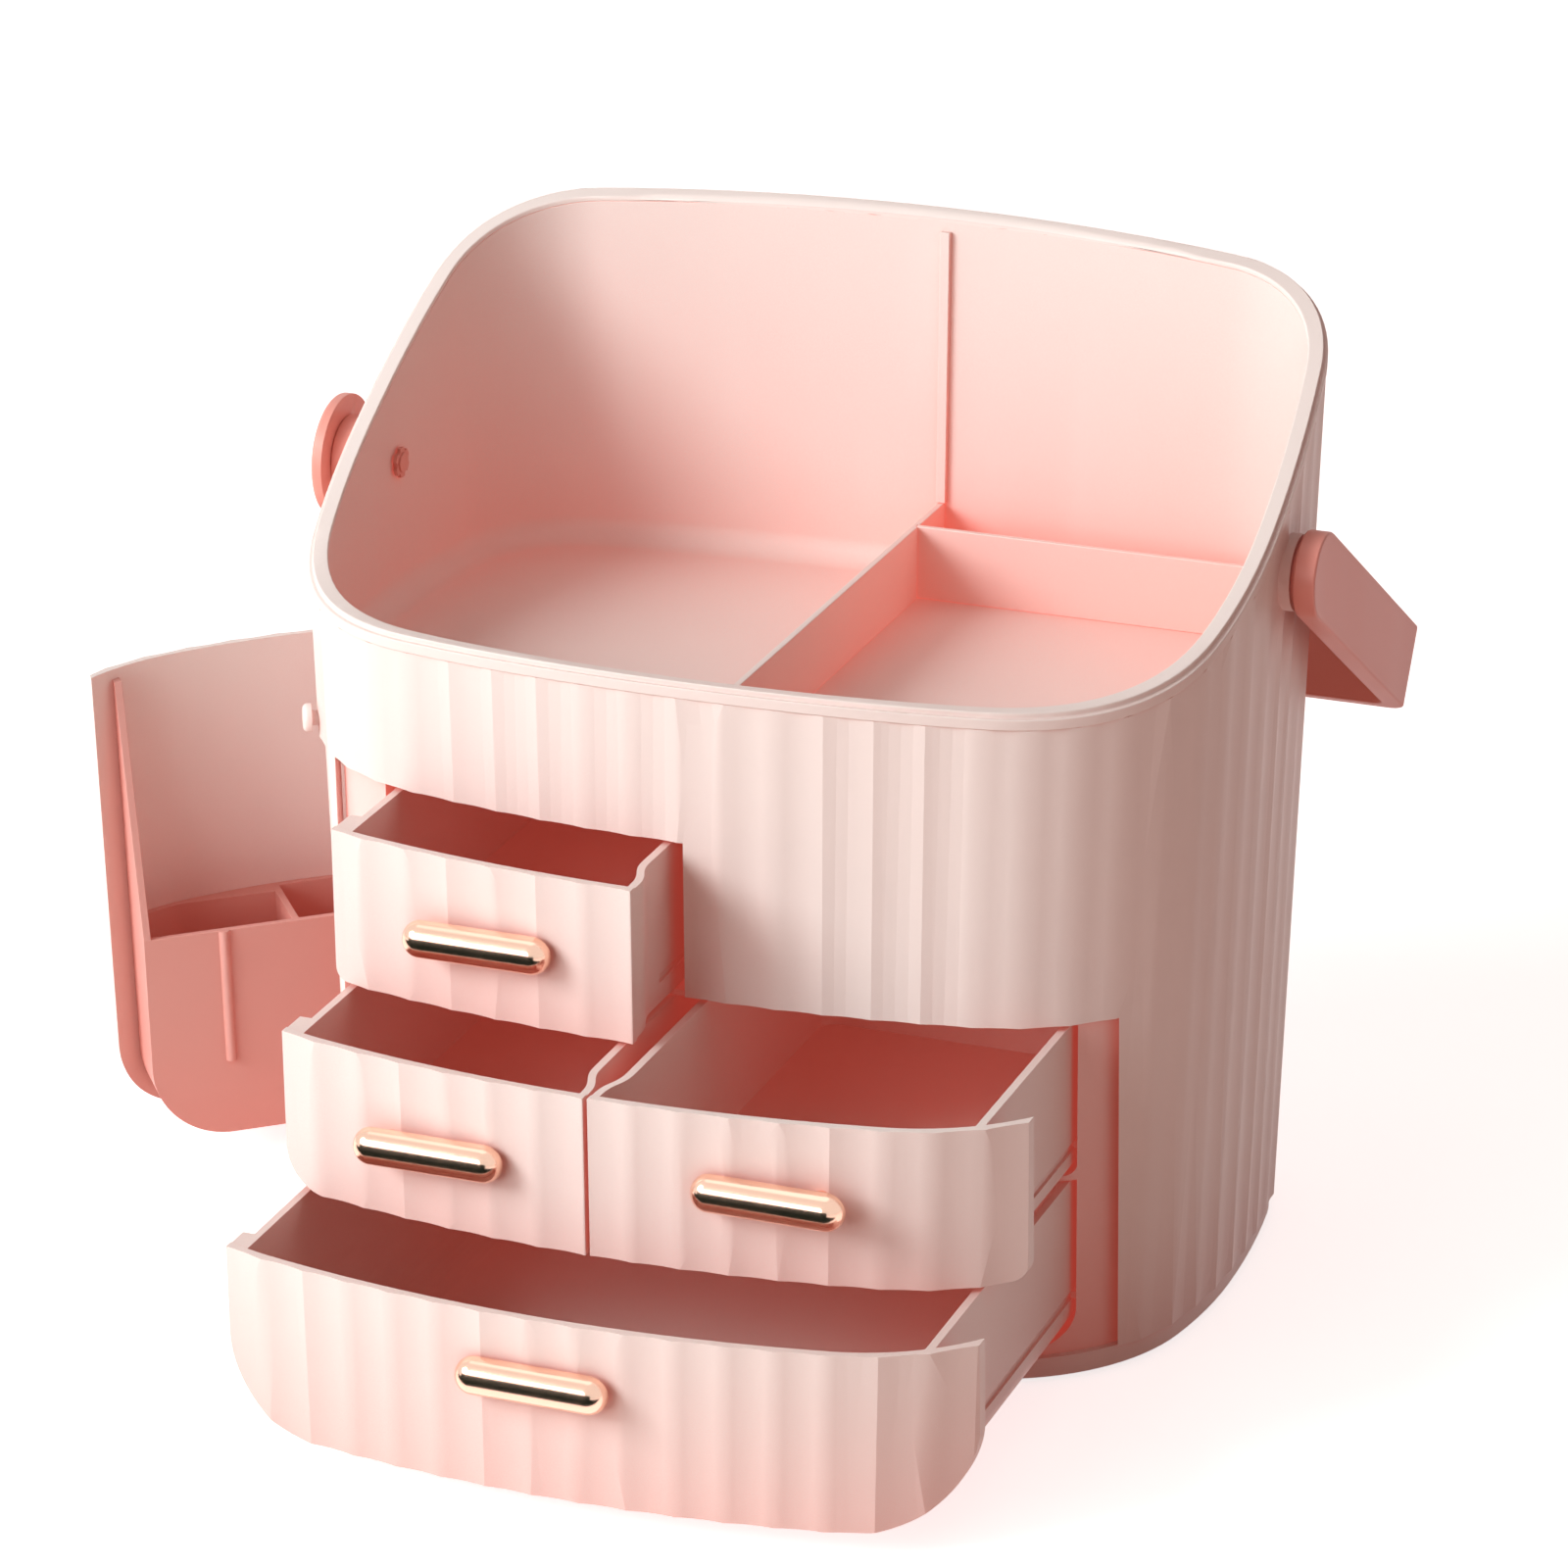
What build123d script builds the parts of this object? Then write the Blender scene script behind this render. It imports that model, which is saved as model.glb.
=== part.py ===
from build123d import *
from math import atan2, cos, radians, sin, sqrt, tan
import os

os.makedirs("parts", exist_ok=True)

# Makeup storage case with handle. Millimetres, +Z up, the drawers face -Y and the brush door is at -X.
# The origin is on the floor, at the middle of the plan. Drawers, door and handle stand as photographed.

# ---------------------------------------------------------------- driving dimensions
# Plan of the case, measured over the flute ridges at the height plan_z
case_width = 280.0
case_depth = 198.0
plan_z = 200.0
draft_angle = 1.6            # each side leans in by this much towards the floor
front_corner_radius = 66.0
front_arc_end = 12.0         # heading, in degrees, where the bowed front meets its corner
front_corner_end = 78.0      # heading where the corner meets the bowed side
back_corner_radius = 46.0
back_arc_end = 9.0
back_corner_end = 82.0

# Fluted skin
flute_pitch = 14.1
flute_depth = 0.7
skin_wall = 3.2              # ridge to inner face

# Base
pad_radius = 8.0
pad_stand = 1.5              # how far the pads stand below the plinth
pad_inset = 38.0
plinth_height = 6.0
plinth_inset = 1.5
plinth_wall = 3.0
plinth_deck = 2.5
shell_z = pad_stand + plinth_height

# Slanted rim, as the four pull points of its side-view curve
rim_overrun = 4.0            # the curve runs this far past the case at both ends
rim_front_z = 205.8
rim_front_pull_z = 192.0
rim_back_pull_z = 268.0
rim_back_z = 288.7
lip_height = 1.6
lip_inset = 1.3
collar_height = 3.2
collar_wall = 3.1
blank_top = rim_back_z + 12.0

# Drawer fronts, from the bottom row up
first_front_z = 8.7
bottom_front_height = 52.8
middle_front_height = 47.0
top_front_height = 45.6
front_gap = 1.2
front_wall = 3.0
seam_x = 1.0
front_left = -94.5
front_cut_y = -50.0           # the front openings and fronts lie before this plane
front_limit_y = -150.0
front_right = 117.5
bottom_corner_radius = 27.0
middle_corner_radius = 12.0
small_corner_radius = 4.0

# Openings of the skin round the drawer fronts
opening_left = -116.0
opening_right = 119.0
opening_gap = 1.0

# Drawer trays
tray_wall = 2.3
tray_floor = 2.0
tray_back_y = 72.0
tray_corner_radius = 12.0
wide_tray_corner = 24.0      # low left edge of the bottom tray, inside its front's corner
small_tray_corner = 3.0
tray_plan_radius = 8.0
tray_left = front_left + 3.5
tray_right = front_right - 10.5
tray_seam_gap = 3.8          # tray side to the seam, behind the flare
tray_top_drop = 0.4          # tray side top below the front's top
tray_bottom_rise = 0.8       # tray underside above the front's bottom
flare_length = 16.0
flare_front_y = -92.0
return_back_y = -73.0        # the left ends of the fronts turn back to here
run_below = 0.3
run_above = 0.5

# Runner grooves of the trays and rails of the cabinet
groove_height = 2.8
groove_depth = 0.9
groove_rise = 1.5            # above the tray's rounded low edge
low_groove_rise = 6.0
groove_start_y = -70.0
rail_clearance = 0.35
rail_back_y = 70.0

# Cabinet that carries the drawers
frame_gap = 0.4
frame_wall = 2.5
frame_lap = 2.5              # how far the frame reaches behind the skin's edges
cabinet_wall = 2.2
bay_left_gap = 1.1
bay_right_gap = 1.8
cabinet_top_wall = 2.0
cabinet_front_y = -74.0
cabinet_inner_y = 73.0
cabinet_back_wall = 2.2
frame_left_x = -114.6
frame_back_y = -50.0
rail_front_y = -68.0

# How far each drawer stands open
top_left_open = 35.0
middle_open = 71.0
bottom_open = 111.0

# Pulls and their screws
pull_length = 44.0
pull_height = 10.8
pull_depth = 5.8
pull_round = 5.2
pull_standoff = 1.5
pull_post_radius = 2.8
pull_screw_offset = 13.0
left_pull_x = -45.0
right_pull_x = 54.0
bottom_pull_x = 2.0
right_pull_rise = 2.0        # how far these pulls sit above the middle of their fronts
bottom_pull_rise = 8.4
screw_radius = 1.45
screw_clearance = 0.25
screw_head_radius = 2.8
screw_head_height = 1.8
screw_grip = 3.6
screw_pad_radius = 3.9
screw_pad_height = 1.2

# Tray bowl at the top
bowl_gap = 0.3
bowl_wall = 2.2
bowl_floor_z = 175.0
bowl_floor_wall = 2.5
bowl_corner_radius = 8.0
divider_x = 9.0
divider_wall = 2.0
divider_height = 22.5
cross_divider_y = 70.0
divider_fit = 0.2
divider_notch = 0.6
rib_width = 3.0
rib_depth = 1.7
rib_top_z = 281.0

# Side door, its hinge and the brush bin
door_free_y = -63.2
door_hinge_y = 52.0
door_gap = 0.8
door_edge_gap = 1.2
door_bottom_z = 11.0
door_top_z = 156.4
door_wall = 2.8
door_corner_radius = 28.0
door_open_angle = 52.0
barrel_radius = 2.2
barrel_gap = 0.6
hinge_pin_radius = 1.0
hinge_fit = 0.08
hinge_pin_length = 12.0
hinge_pin_bury = 6.0
boss_height = 6.0
bin_plate_x = -102.0
bin_front_y = -56.0
bin_back_y = 44.0
bin_top_z = 77.5
bin_wall = 2.2
bin_divider_y = -9.0
bin_pocket_x = -127.0
bin_fit = 0.1
bin_rib_y = -31.5
bin_rib_width = 3.2
bin_rib_depth = 1.6
bin_corner_radius = 24.0
gusset_top_x = -122.5
gusset_top_gap = 3.0

# Door button
button_along = 142.7         # along the plan from the front middle
button_z = 162.6
button_radius = 4.2
button_height = 2.6
button_round = 1.6
button_travel = 1.5
button_stem_radius = 2.2
button_collar_radius = 3.2
button_collar_height = 1.2
button_fit = 0.1

# Carry handle and its pivots
pivot_y = 16.0
pivot_z = 217.0
handle_angle = -32.0         # arms below the horizontal, towards the back
arm_reach = 112.5            # pivot to the inner face of the crossbar
arm_half_width = 12.5
arm_thickness = 6.5
arm_inner_x = 144.3
crossbar_thickness = 5.0
handle_outer_round = 6.0
handle_inner_round = 3.0
pivot_pad_radius = 11.0
washer_thickness = 1.2
washer_radius = 9.5
washer_play = 0.05
pivot_pin_radius = 3.0
pivot_fit = 0.08
cap_radius = 18.5
cap_thickness = 3.6
cap_round = 1.2
cap_boss_radius = 6.3
cap_boss_fit = 0.02
retainer_radius = 4.6
retainer_thickness = 1.1
retainer_gap = 0.1
retainer_tooth_radius = 1.0
pin_tip = 0.6

# Screws between the plinth and the skin
base_boss_radius = 4.0
base_boss_height = 24.0
base_screw_length = 16.0
base_screw_clearance = 0.3
pad_boss_wall = 1.5
pad_recess = 0.4
base_screw_points = [(120.0, -40.0), (121.0, 48.0), (40.0, 85.0), (-90.0, 80.0)]

# ---------------------------------------------------------------- plan of the case
half_width = case_width / 2
half_depth = case_depth / 2
pad_x = half_width - pad_inset
pad_y = half_depth - pad_inset
pad_points = [(pad_x, -pad_y), (pad_x, pad_y), (-pad_x, pad_y), (-pad_x, -pad_y), (0.0, 0.0)]
taper = tan(radians(draft_angle)) / half_width


def bow_radii(corner_radius, arc_end, corner_end):
    """Radii of the bowed end and of the bowed side that meet a corner and fill the half plan."""
    a, b = radians(arc_end), radians(corner_end)
    reach_x = half_width - corner_radius * (sin(b) - sin(a))
    reach_y = half_depth - corner_radius * (cos(a) - cos(b))
    across = sin(a) * cos(b) - (1 - sin(b)) * (1 - cos(a))
    end_radius = (reach_x * cos(b) - (1 - sin(b)) * reach_y) / across
    side_radius = (sin(a) * reach_y - reach_x * (1 - cos(a))) / across
    return end_radius, side_radius


front_radius, front_side_radius = bow_radii(front_corner_radius, front_arc_end, front_corner_end)
back_radius, back_side_radius = bow_radii(back_corner_radius, back_arc_end, back_corner_end)

# Right half of the plan from the front to the back: radius and turn of each arc
plan_arcs = [
    (front_radius, front_arc_end),
    (front_corner_radius, front_corner_end - front_arc_end),
    (front_side_radius, 90 - front_corner_end),
    (back_side_radius, 90 - back_corner_end),
    (back_corner_radius, back_corner_end - back_arc_end),
    (back_radius, back_arc_end),
]
half_length = sum(radius * radians(turn) for radius, turn in plan_arcs)
flutes_per_half = round(half_length / flute_pitch)


def plan_scale(z):
    """Share of the full plan at a height: the sides lean in towards the floor."""
    return 1 + (z - plan_z) * taper


def front_y(x, z, inset=0.0):
    """Y of the bowed front at a place and a height."""
    scale = plan_scale(z)
    radius = front_radius * scale - inset
    return (front_radius - half_depth) * scale - sqrt(radius**2 - x**2)


def side_x(y, z, inset=0.0):
    """X of the bowed right side at a place and a height."""
    scale = plan_scale(z)
    radius = (front_side_radius if y < 0 else back_side_radius) * scale - inset
    centre = half_width * scale - inset - radius
    return centre + sqrt(radius**2 - y**2)


def plan_point(length, inset=0.0):
    """Point and heading of the full-size plan at a length from the front middle, moved in by an inset."""
    x, y, heading = 0.0, -half_depth, 0.0
    for radius, turn in plan_arcs:
        arc = radius * radians(turn)
        step = min(length, arc) / radius
        centre_x, centre_y = x - radius * sin(heading), y + radius * cos(heading)
        heading += step
        x, y = centre_x + radius * sin(heading), centre_y - radius * cos(heading)
        length -= min(length, arc)
        if length <= 0:
            break
    return x - inset * sin(heading), y + inset * cos(heading), heading


def smooth_section(z, inset):
    """Plan of the case at a height, drawn inside the ridges by an inset."""
    scale = plan_scale(z)
    with BuildSketch(Plane.XY.offset(z)) as section:
        with BuildLine():
            point, tangent = (0, -half_depth * scale + inset), (1, 0)
            for radius, turn in plan_arcs:
                arc = JernArc(point, tangent, radius * scale - inset, turn)
                point, tangent = arc @ 1, arc % 1
            mirror(about=Plane.YZ)
        make_face()
    return section.sketch


def fluted_section(z):
    """Plan of the case at a height, with a shallow hollow between each two ridges."""
    scale = plan_scale(z)
    step = half_length / flutes_per_half

    def at(length, inset):
        x, y, _ = plan_point(length, inset)
        return x * scale, y * scale

    with BuildSketch(Plane.XY.offset(z)) as section:
        with BuildLine():
            for i in range(flutes_per_half):
                ThreePointArc(at(i * step, 0), at((i + 0.5) * step, flute_depth), at((i + 1) * step, 0))
            mirror(about=Plane.YZ)
        make_face()
    return section.sketch


def drafted(z0, z1, inset):
    """Smooth solid inside the case between two heights."""
    with BuildPart() as blank:
        loft(sections=[smooth_section(z0, inset), smooth_section(z1, inset)], ruled=True)
    return blank.part


def fluted(z0, z1):
    """Solid inside the fluted outside of the case between two heights."""
    with BuildPart() as blank:
        loft(sections=[fluted_section(z0), fluted_section(z1)], ruled=True)
    return blank.part


def under_rim(drop):
    """Everything below the slanted rim, lowered by a drop."""
    lead = 40.0
    pulls = [rim_front_z, rim_front_pull_z, rim_back_pull_z, rim_back_z]
    reach = half_depth + rim_overrun
    third = 2 * reach / 3
    points = [(-reach + i * third, z - drop) for i, z in enumerate(pulls)]
    front_slope = (points[1][1] - points[0][1]) / third
    back_slope = (points[3][1] - points[2][1]) / third
    front_end = (points[0][0] - lead, points[0][1] - front_slope * lead)
    back_end = (points[3][0] + lead, points[3][1] + back_slope * lead)
    with BuildPart() as block:
        with BuildSketch(Plane.YZ):
            with BuildLine():
                Line(front_end, points[0])
                Bezier(*points)
                Polyline(points[3], back_end, (back_end[0], -lead), (front_end[0], -lead), front_end)
            make_face()
        extrude(amount=case_width, both=True)
    return block.part


def door_window(y0, z0, z1, back_reach, radius):
    """Block over the left side: straight free edge, leaning hinge edge, rounded low free corner."""
    def hinge_at(z):
        return door_hinge_y * plan_scale(z) + back_reach

    with BuildPart() as block:
        with BuildSketch(Plane.YZ.offset(-case_width)):
            with BuildLine():
                Polyline((y0 + radius, z0), (hinge_at(z0), z0), (hinge_at(z1), z1), (y0, z1))
                Line((y0, z1), (y0, z0 + radius))
                RadiusArc((y0, z0 + radius), (y0 + radius, z0), -radius)
            make_face()
        extrude(amount=case_width - 60.0)
    return block.part


def inside(inset, z0=0.0, z1=blank_top):
    """Smooth solid inside the case at an inset, over its whole height unless told otherwise."""
    return drafted(z0, z1, inset)


def side_disc(x, radius, outward, y=pivot_y, z=pivot_z):
    """Disc square to X, drawn from a place outward to the right (+1) or to the left (-1)."""
    with BuildPart() as disc:
        with BuildSketch(Plane(origin=(x, y, z), x_dir=(0, 1, 0), z_dir=(1, 0, 0))):
            Circle(radius)
        extrude(amount=outward)
    return disc.part


def profile_block(x0, x1, z0, z1, left_radius, right_radius, y0, y1):
    """Block between two depths, seen from the front as a rectangle with rounded low corners."""
    with BuildPart() as block:
        with BuildSketch(Plane.XZ.offset(-y1)) as outline:
            with Locations(((x0 + x1) / 2, (z0 + z1) / 2)):
                Rectangle(x1 - x0, z1 - z0)
            if left_radius:
                fillet(outline.vertices().group_by(Axis.Y)[0].sort_by(Axis.X)[0], left_radius)
            if right_radius:
                fillet(outline.vertices().group_by(Axis.Y)[0].sort_by(Axis.X)[-1], right_radius)
        extrude(amount=y1 - y0)
    return block.part


def plain_block(x0, x1, y0, y1, z0, z1):
    """Plain block between six planes."""
    with BuildPart() as block:
        with BuildSketch(Plane.XY.offset(z0)):
            with Locations(((x0 + x1) / 2, (y0 + y1) / 2)):
                Rectangle(x1 - x0, y1 - y0)
        extrude(amount=z1 - z0)
    return block.part


# ---------------------------------------------------------------- shared blanks
skin_blank = fluted(shell_z, blank_top)
front_blank = inside(front_wall)
tray_limit = inside(front_wall * 0.7)
wall_limit = inside(skin_wall / 2)
pad_face_x = arm_inner_x - washer_thickness - 2 * washer_play
pad_root_x = half_width - 0.75 * skin_wall
arm_outer_x = arm_inner_x + arm_thickness
pivot_hole_radius = pivot_pin_radius + pivot_fit
bowl_outer_inset = skin_wall + bowl_gap
bowl_inner_inset = bowl_outer_inset + bowl_wall

# Leaning hinge line of the door, given at the floor and at the height plan_z
hinge_x = side_x(door_hinge_y, plan_z) - barrel_radius
hinge_high = Vector(-hinge_x, door_hinge_y, plan_z)
hinge_low = Vector(-hinge_x * plan_scale(0), door_hinge_y * plan_scale(0), 0)
hinge_axis = Axis(hinge_low, hinge_high - hinge_low)


def hinge_rod(z, radius, length):
    """Round rod on the door's hinge line, upwards from a height."""
    origin = hinge_low + (hinge_high - hinge_low) * (z / plan_z)
    with BuildPart() as rod:
        with BuildSketch(Plane(origin=origin, z_dir=hinge_axis.direction)):
            Circle(radius)
        extrude(amount=length)
    return rod.part


# Button line: where it meets the skin, and the way out of the case
button_x, button_y, button_heading = plan_point(button_along)
button_x, button_y = -button_x * plan_scale(button_z), button_y * plan_scale(button_z)
button_out = Vector(-sin(button_heading), -cos(button_heading), 0)


def button_rod(distance, radius, length):
    """Round rod on the button's line, inwards from a distance outside the skin."""
    origin = Vector(button_x, button_y, button_z) + button_out * distance
    with BuildPart() as rod:
        with BuildSketch(Plane(origin=origin, x_dir=(0, 0, 1), z_dir=-button_out)):
            Circle(radius)
        extrude(amount=length)
    return rod.part


def row(z0, height):
    """Heights of a drawer row: front bottom and top, tray bottom and top."""
    return z0, z0 + height, z0 + tray_bottom_rise, z0 + height - tray_top_drop


bottom_row = row(first_front_z, bottom_front_height)
middle_row = row(bottom_row[1] + front_gap, middle_front_height)
top_row = row(middle_row[1] + front_gap, top_front_height)
opening_top = top_row[1] + opening_gap
step_top = middle_row[1] + front_gap
left_front_end = seam_x - front_gap / 2
right_front_start = seam_x + front_gap / 2
bay_left = front_left - bay_left_gap
bay_right = tray_right + bay_right_gap
left_tray_end = seam_x - tray_seam_gap
right_tray_start = seam_x + tray_seam_gap

# ---------------------------------------------------------------- outer shell
with BuildPart() as hinge_bosses:
    for z0, z1 in (
        (shell_z, door_bottom_z - door_gap),
        (door_top_z + door_gap, door_top_z + door_gap + boss_height),
    ):
        with BuildSketch(Plane.XY.offset(z0)):
            with Locations((hinge_low.X, hinge_low.Y)):
                Rectangle(6 * barrel_radius, 5 * barrel_radius)
        extrude(amount=z1 - z0)
    add(wall_limit, mode=Mode.INTERSECT)

with BuildPart() as base_bosses:
    for x, y in base_screw_points:
        to_wall = (cos(atan2(y, x)), sin(atan2(y, x)), 0)
        with BuildSketch(Plane(origin=(x, y, shell_z), x_dir=to_wall, z_dir=(0, 0, 1))):
            Circle(base_boss_radius)
            Rectangle(5 * base_boss_radius, base_boss_radius / 2, align=(Align.MIN, Align.CENTER))
        extrude(amount=base_boss_height)
    add(wall_limit, mode=Mode.INTERSECT)

with BuildPart() as outer_shell:
    add(skin_blank)
    add(under_rim(lip_height + collar_height), mode=Mode.INTERSECT)
    add(inside(skin_wall), mode=Mode.SUBTRACT)
    # openings for the drawer fronts and for the door
    add(
        plain_block(opening_left, right_front_start, front_limit_y, front_cut_y, -10.0, opening_top),
        mode=Mode.SUBTRACT,
    )
    add(
        plain_block(seam_x, opening_right, front_limit_y, front_cut_y, -10.0, step_top),
        mode=Mode.SUBTRACT,
    )
    add(
        door_window(
            door_free_y - door_edge_gap,
            door_bottom_z - door_gap,
            door_top_z + door_gap,
            barrel_radius + barrel_gap,
            door_corner_radius,
        ),
        mode=Mode.SUBTRACT,
    )
    add(hinge_bosses.part)
    add(base_bosses.part)
    # flat round pads that carry the handle's washers
    add(side_disc(pad_root_x, pivot_pad_radius, pad_face_x - pad_root_x))
    add(side_disc(-pad_root_x, pivot_pad_radius, pad_root_x - pad_face_x))
    # holes for the pivot pins, the hinge pins, the button and the base screws
    add(side_disc(-case_width, pivot_hole_radius, 2 * case_width), mode=Mode.SUBTRACT)
    add(hinge_rod(shell_z + 0.5, hinge_pin_radius, hinge_pin_bury), mode=Mode.SUBTRACT)
    add(hinge_rod(door_top_z, hinge_pin_radius, hinge_pin_bury), mode=Mode.SUBTRACT)
    add(button_rod(button_height, button_stem_radius + button_fit, 12.0), mode=Mode.SUBTRACT)
    for x, y in base_screw_points:
        with BuildSketch(Plane.XY.offset(shell_z)):
            with Locations((x, y)):
                Circle(screw_radius)
        extrude(amount=base_screw_length, mode=Mode.SUBTRACT)
outer_shell.part.label = "outer_shell"

# ---------------------------------------------------------------- rim ring
with BuildPart() as rim_collar:
    add(inside(0.0))
    add(under_rim(lip_height), mode=Mode.INTERSECT)
    add(under_rim(lip_height + collar_height), mode=Mode.SUBTRACT)
    add(inside(collar_wall), mode=Mode.SUBTRACT)

with BuildPart() as rim_ring:
    add(inside(lip_inset))
    add(under_rim(0.0), mode=Mode.INTERSECT)
    add(under_rim(lip_height), mode=Mode.SUBTRACT)
    add(inside(bowl_inner_inset), mode=Mode.SUBTRACT)
    add(rim_collar.part)
rim_ring.part.label = "rim_ring"

# ---------------------------------------------------------------- bowl of the top tray and its dividers
with BuildPart() as bowl_room:
    add(inside(bowl_inner_inset, bowl_floor_z))
    fillet(bowl_room.edges().group_by(Axis.Z)[0], bowl_corner_radius)

# upright guide rib on the back wall, in line with the long divider
with BuildPart() as bowl_rib:
    with BuildSketch(Plane.XY.offset(bowl_floor_z + divider_height + divider_fit)):
        with Locations((divider_x, half_depth)):
            Rectangle(rib_width, half_depth)
    extrude(amount=rib_top_z - bowl_floor_z - divider_height)
    add(inside(bowl_outer_inset + bowl_wall / 2), mode=Mode.INTERSECT)
    add(inside(bowl_inner_inset + rib_depth), mode=Mode.SUBTRACT)

with BuildPart() as top_bowl:
    add(inside(bowl_outer_inset, bowl_floor_z - bowl_floor_wall))
    fillet(top_bowl.edges().group_by(Axis.Z)[0], bowl_corner_radius)
    add(under_rim(lip_height), mode=Mode.INTERSECT)
    add(bowl_room.part, mode=Mode.SUBTRACT)
    add(bowl_rib.part)
    add(side_disc(-case_width, pivot_hole_radius, 2 * case_width), mode=Mode.SUBTRACT)
top_bowl.part.label = "top_bowl"

# everything the dividers may fill: the bowl's room less a fit, up to the dividers' top
with BuildPart() as divider_room:
    add(inside(bowl_inner_inset + divider_fit, bowl_floor_z, bowl_floor_z + divider_height))
    fillet(divider_room.edges().group_by(Axis.Z)[0], bowl_corner_radius)

with BuildPart() as divider_long:
    with BuildSketch(Plane.XY.offset(bowl_floor_z)):
        with Locations((divider_x, 0)):
            Rectangle(divider_wall, case_depth)
    extrude(amount=divider_height)
    add(divider_room.part, mode=Mode.INTERSECT)
    with BuildSketch(Plane.XY.offset(bowl_floor_z)):
        with Locations((divider_x + divider_wall / 2, cross_divider_y)):
            Rectangle(2 * divider_notch, divider_wall + 2 * divider_fit)
    extrude(amount=divider_height, mode=Mode.SUBTRACT)
divider_long.part.label = "divider_long"

with BuildPart() as divider_cross:
    with BuildSketch(Plane.XY.offset(bowl_floor_z)):
        with Locations((divider_x + divider_wall / 2 - divider_notch + divider_fit / 2, cross_divider_y)):
            Rectangle(case_width, divider_wall, align=(Align.MIN, Align.CENTER))
    extrude(amount=divider_height)
    add(divider_room.part, mode=Mode.INTERSECT)
divider_cross.part.label = "divider_cross"

# ---------------------------------------------------------------- drawer cabinet
# Each bay: left and right side, row, radii of the two low edges
left_bay_end = seam_x - cabinet_wall / 2
right_bay_start = seam_x + cabinet_wall / 2
bays = [
    (bay_left, bay_right, bottom_row, tray_corner_radius, tray_corner_radius),
    (bay_left, left_bay_end, middle_row, small_tray_corner, 0.0),
    (right_bay_start, bay_right, middle_row, 0.0, small_tray_corner),
    (bay_left, left_bay_end, top_row, small_tray_corner, 0.0),
]
step_cabinet_z = middle_row[3] + run_above + cabinet_top_wall
top_cabinet_z = top_row[3] + run_above + cabinet_top_wall
cabinet_left = bay_left - cabinet_wall
cabinet_right = bay_right + cabinet_wall


def groove_z(heights, low_radius):
    """Middle height of a tray's runner groove."""
    return heights[2] + groove_height / 2 + max(low_groove_rise, low_radius + groove_rise)


# Rails: bay side they stand on, tray side they run in, height of the groove
rails = []
for x0, x1, heights, left_radius, right_radius in (
    (tray_left, tray_right, bottom_row, wide_tray_corner, tray_corner_radius),
    (tray_left, left_tray_end, middle_row, small_tray_corner, 0.0),
    (right_tray_start, tray_right, middle_row, 0.0, small_tray_corner),
    (tray_left, left_tray_end, top_row, small_tray_corner, 0.0),
):
    reach = groove_depth - rail_clearance
    left_root = bay_left if x0 == tray_left else right_bay_start
    right_root = bay_right if x1 == tray_right else left_bay_end
    rails.append((left_root - 1.0, x0 + reach, groove_z(heights, left_radius)))
    rails.append((x1 - reach, right_root + 1.0, groove_z(heights, right_radius)))

# smooth frame right behind the skin, round the mouths of the bays
with BuildPart() as mouth_frame:
    add(inside(skin_wall + frame_gap))
    add(inside(skin_wall + frame_gap + frame_wall), mode=Mode.SUBTRACT)
    frame_right_x, frame_top_z = opening_right + frame_lap, opening_top + frame_lap
    add(
        plain_block(frame_left_x, frame_right_x, front_limit_y, frame_back_y, shell_z, frame_top_z),
        mode=Mode.INTERSECT,
    )
    add(
        plain_block(right_front_start, case_width, front_limit_y, 0.0, step_top + frame_lap, blank_top),
        mode=Mode.SUBTRACT,
    )

with BuildPart() as drawer_cabinet:
    add(plain_block(cabinet_left, cabinet_right, front_limit_y, cabinet_inner_y, shell_z, step_cabinet_z))
    add(plain_block(cabinet_left, right_bay_start, front_limit_y, cabinet_inner_y, shell_z, top_cabinet_z))
    add(inside(skin_wall + frame_gap), mode=Mode.INTERSECT)
    add(mouth_frame.part)
    for x0, x1, heights, left_radius, right_radius in bays:
        z0, z1 = heights[2] - run_below, heights[3] + run_above
        add(
            profile_block(x0, x1, z0, z1, left_radius, right_radius, front_limit_y, half_depth),
            mode=Mode.SUBTRACT,
        )
    # the partition and the seam's shelf stand back behind the flared tray sides
    for heights in (middle_row, top_row):
        z0, z1 = heights[2] - run_below, heights[3] + run_above
        add(
            plain_block(left_bay_end - 0.5, right_bay_start + 0.5, front_limit_y, cabinet_front_y, z0, z1),
            mode=Mode.SUBTRACT,
        )
    for x0, x1, z in rails:
        half = groove_height / 2 - rail_clearance
        add(plain_block(x0, x1, rail_front_y, rail_back_y, z - half, z + half))
drawer_cabinet.part.label = "drawer_cabinet"

with BuildPart() as cabinet_back:
    back_y = cabinet_inner_y + cabinet_back_wall
    add(plain_block(cabinet_left, cabinet_right, cabinet_inner_y, back_y, shell_z, step_cabinet_z))
    add(plain_block(cabinet_left, right_bay_start, cabinet_inner_y, back_y, shell_z, top_cabinet_z))
    add(inside(skin_wall + frame_gap), mode=Mode.INTERSECT)
cabinet_back.part.label = "cabinet_back"

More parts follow.
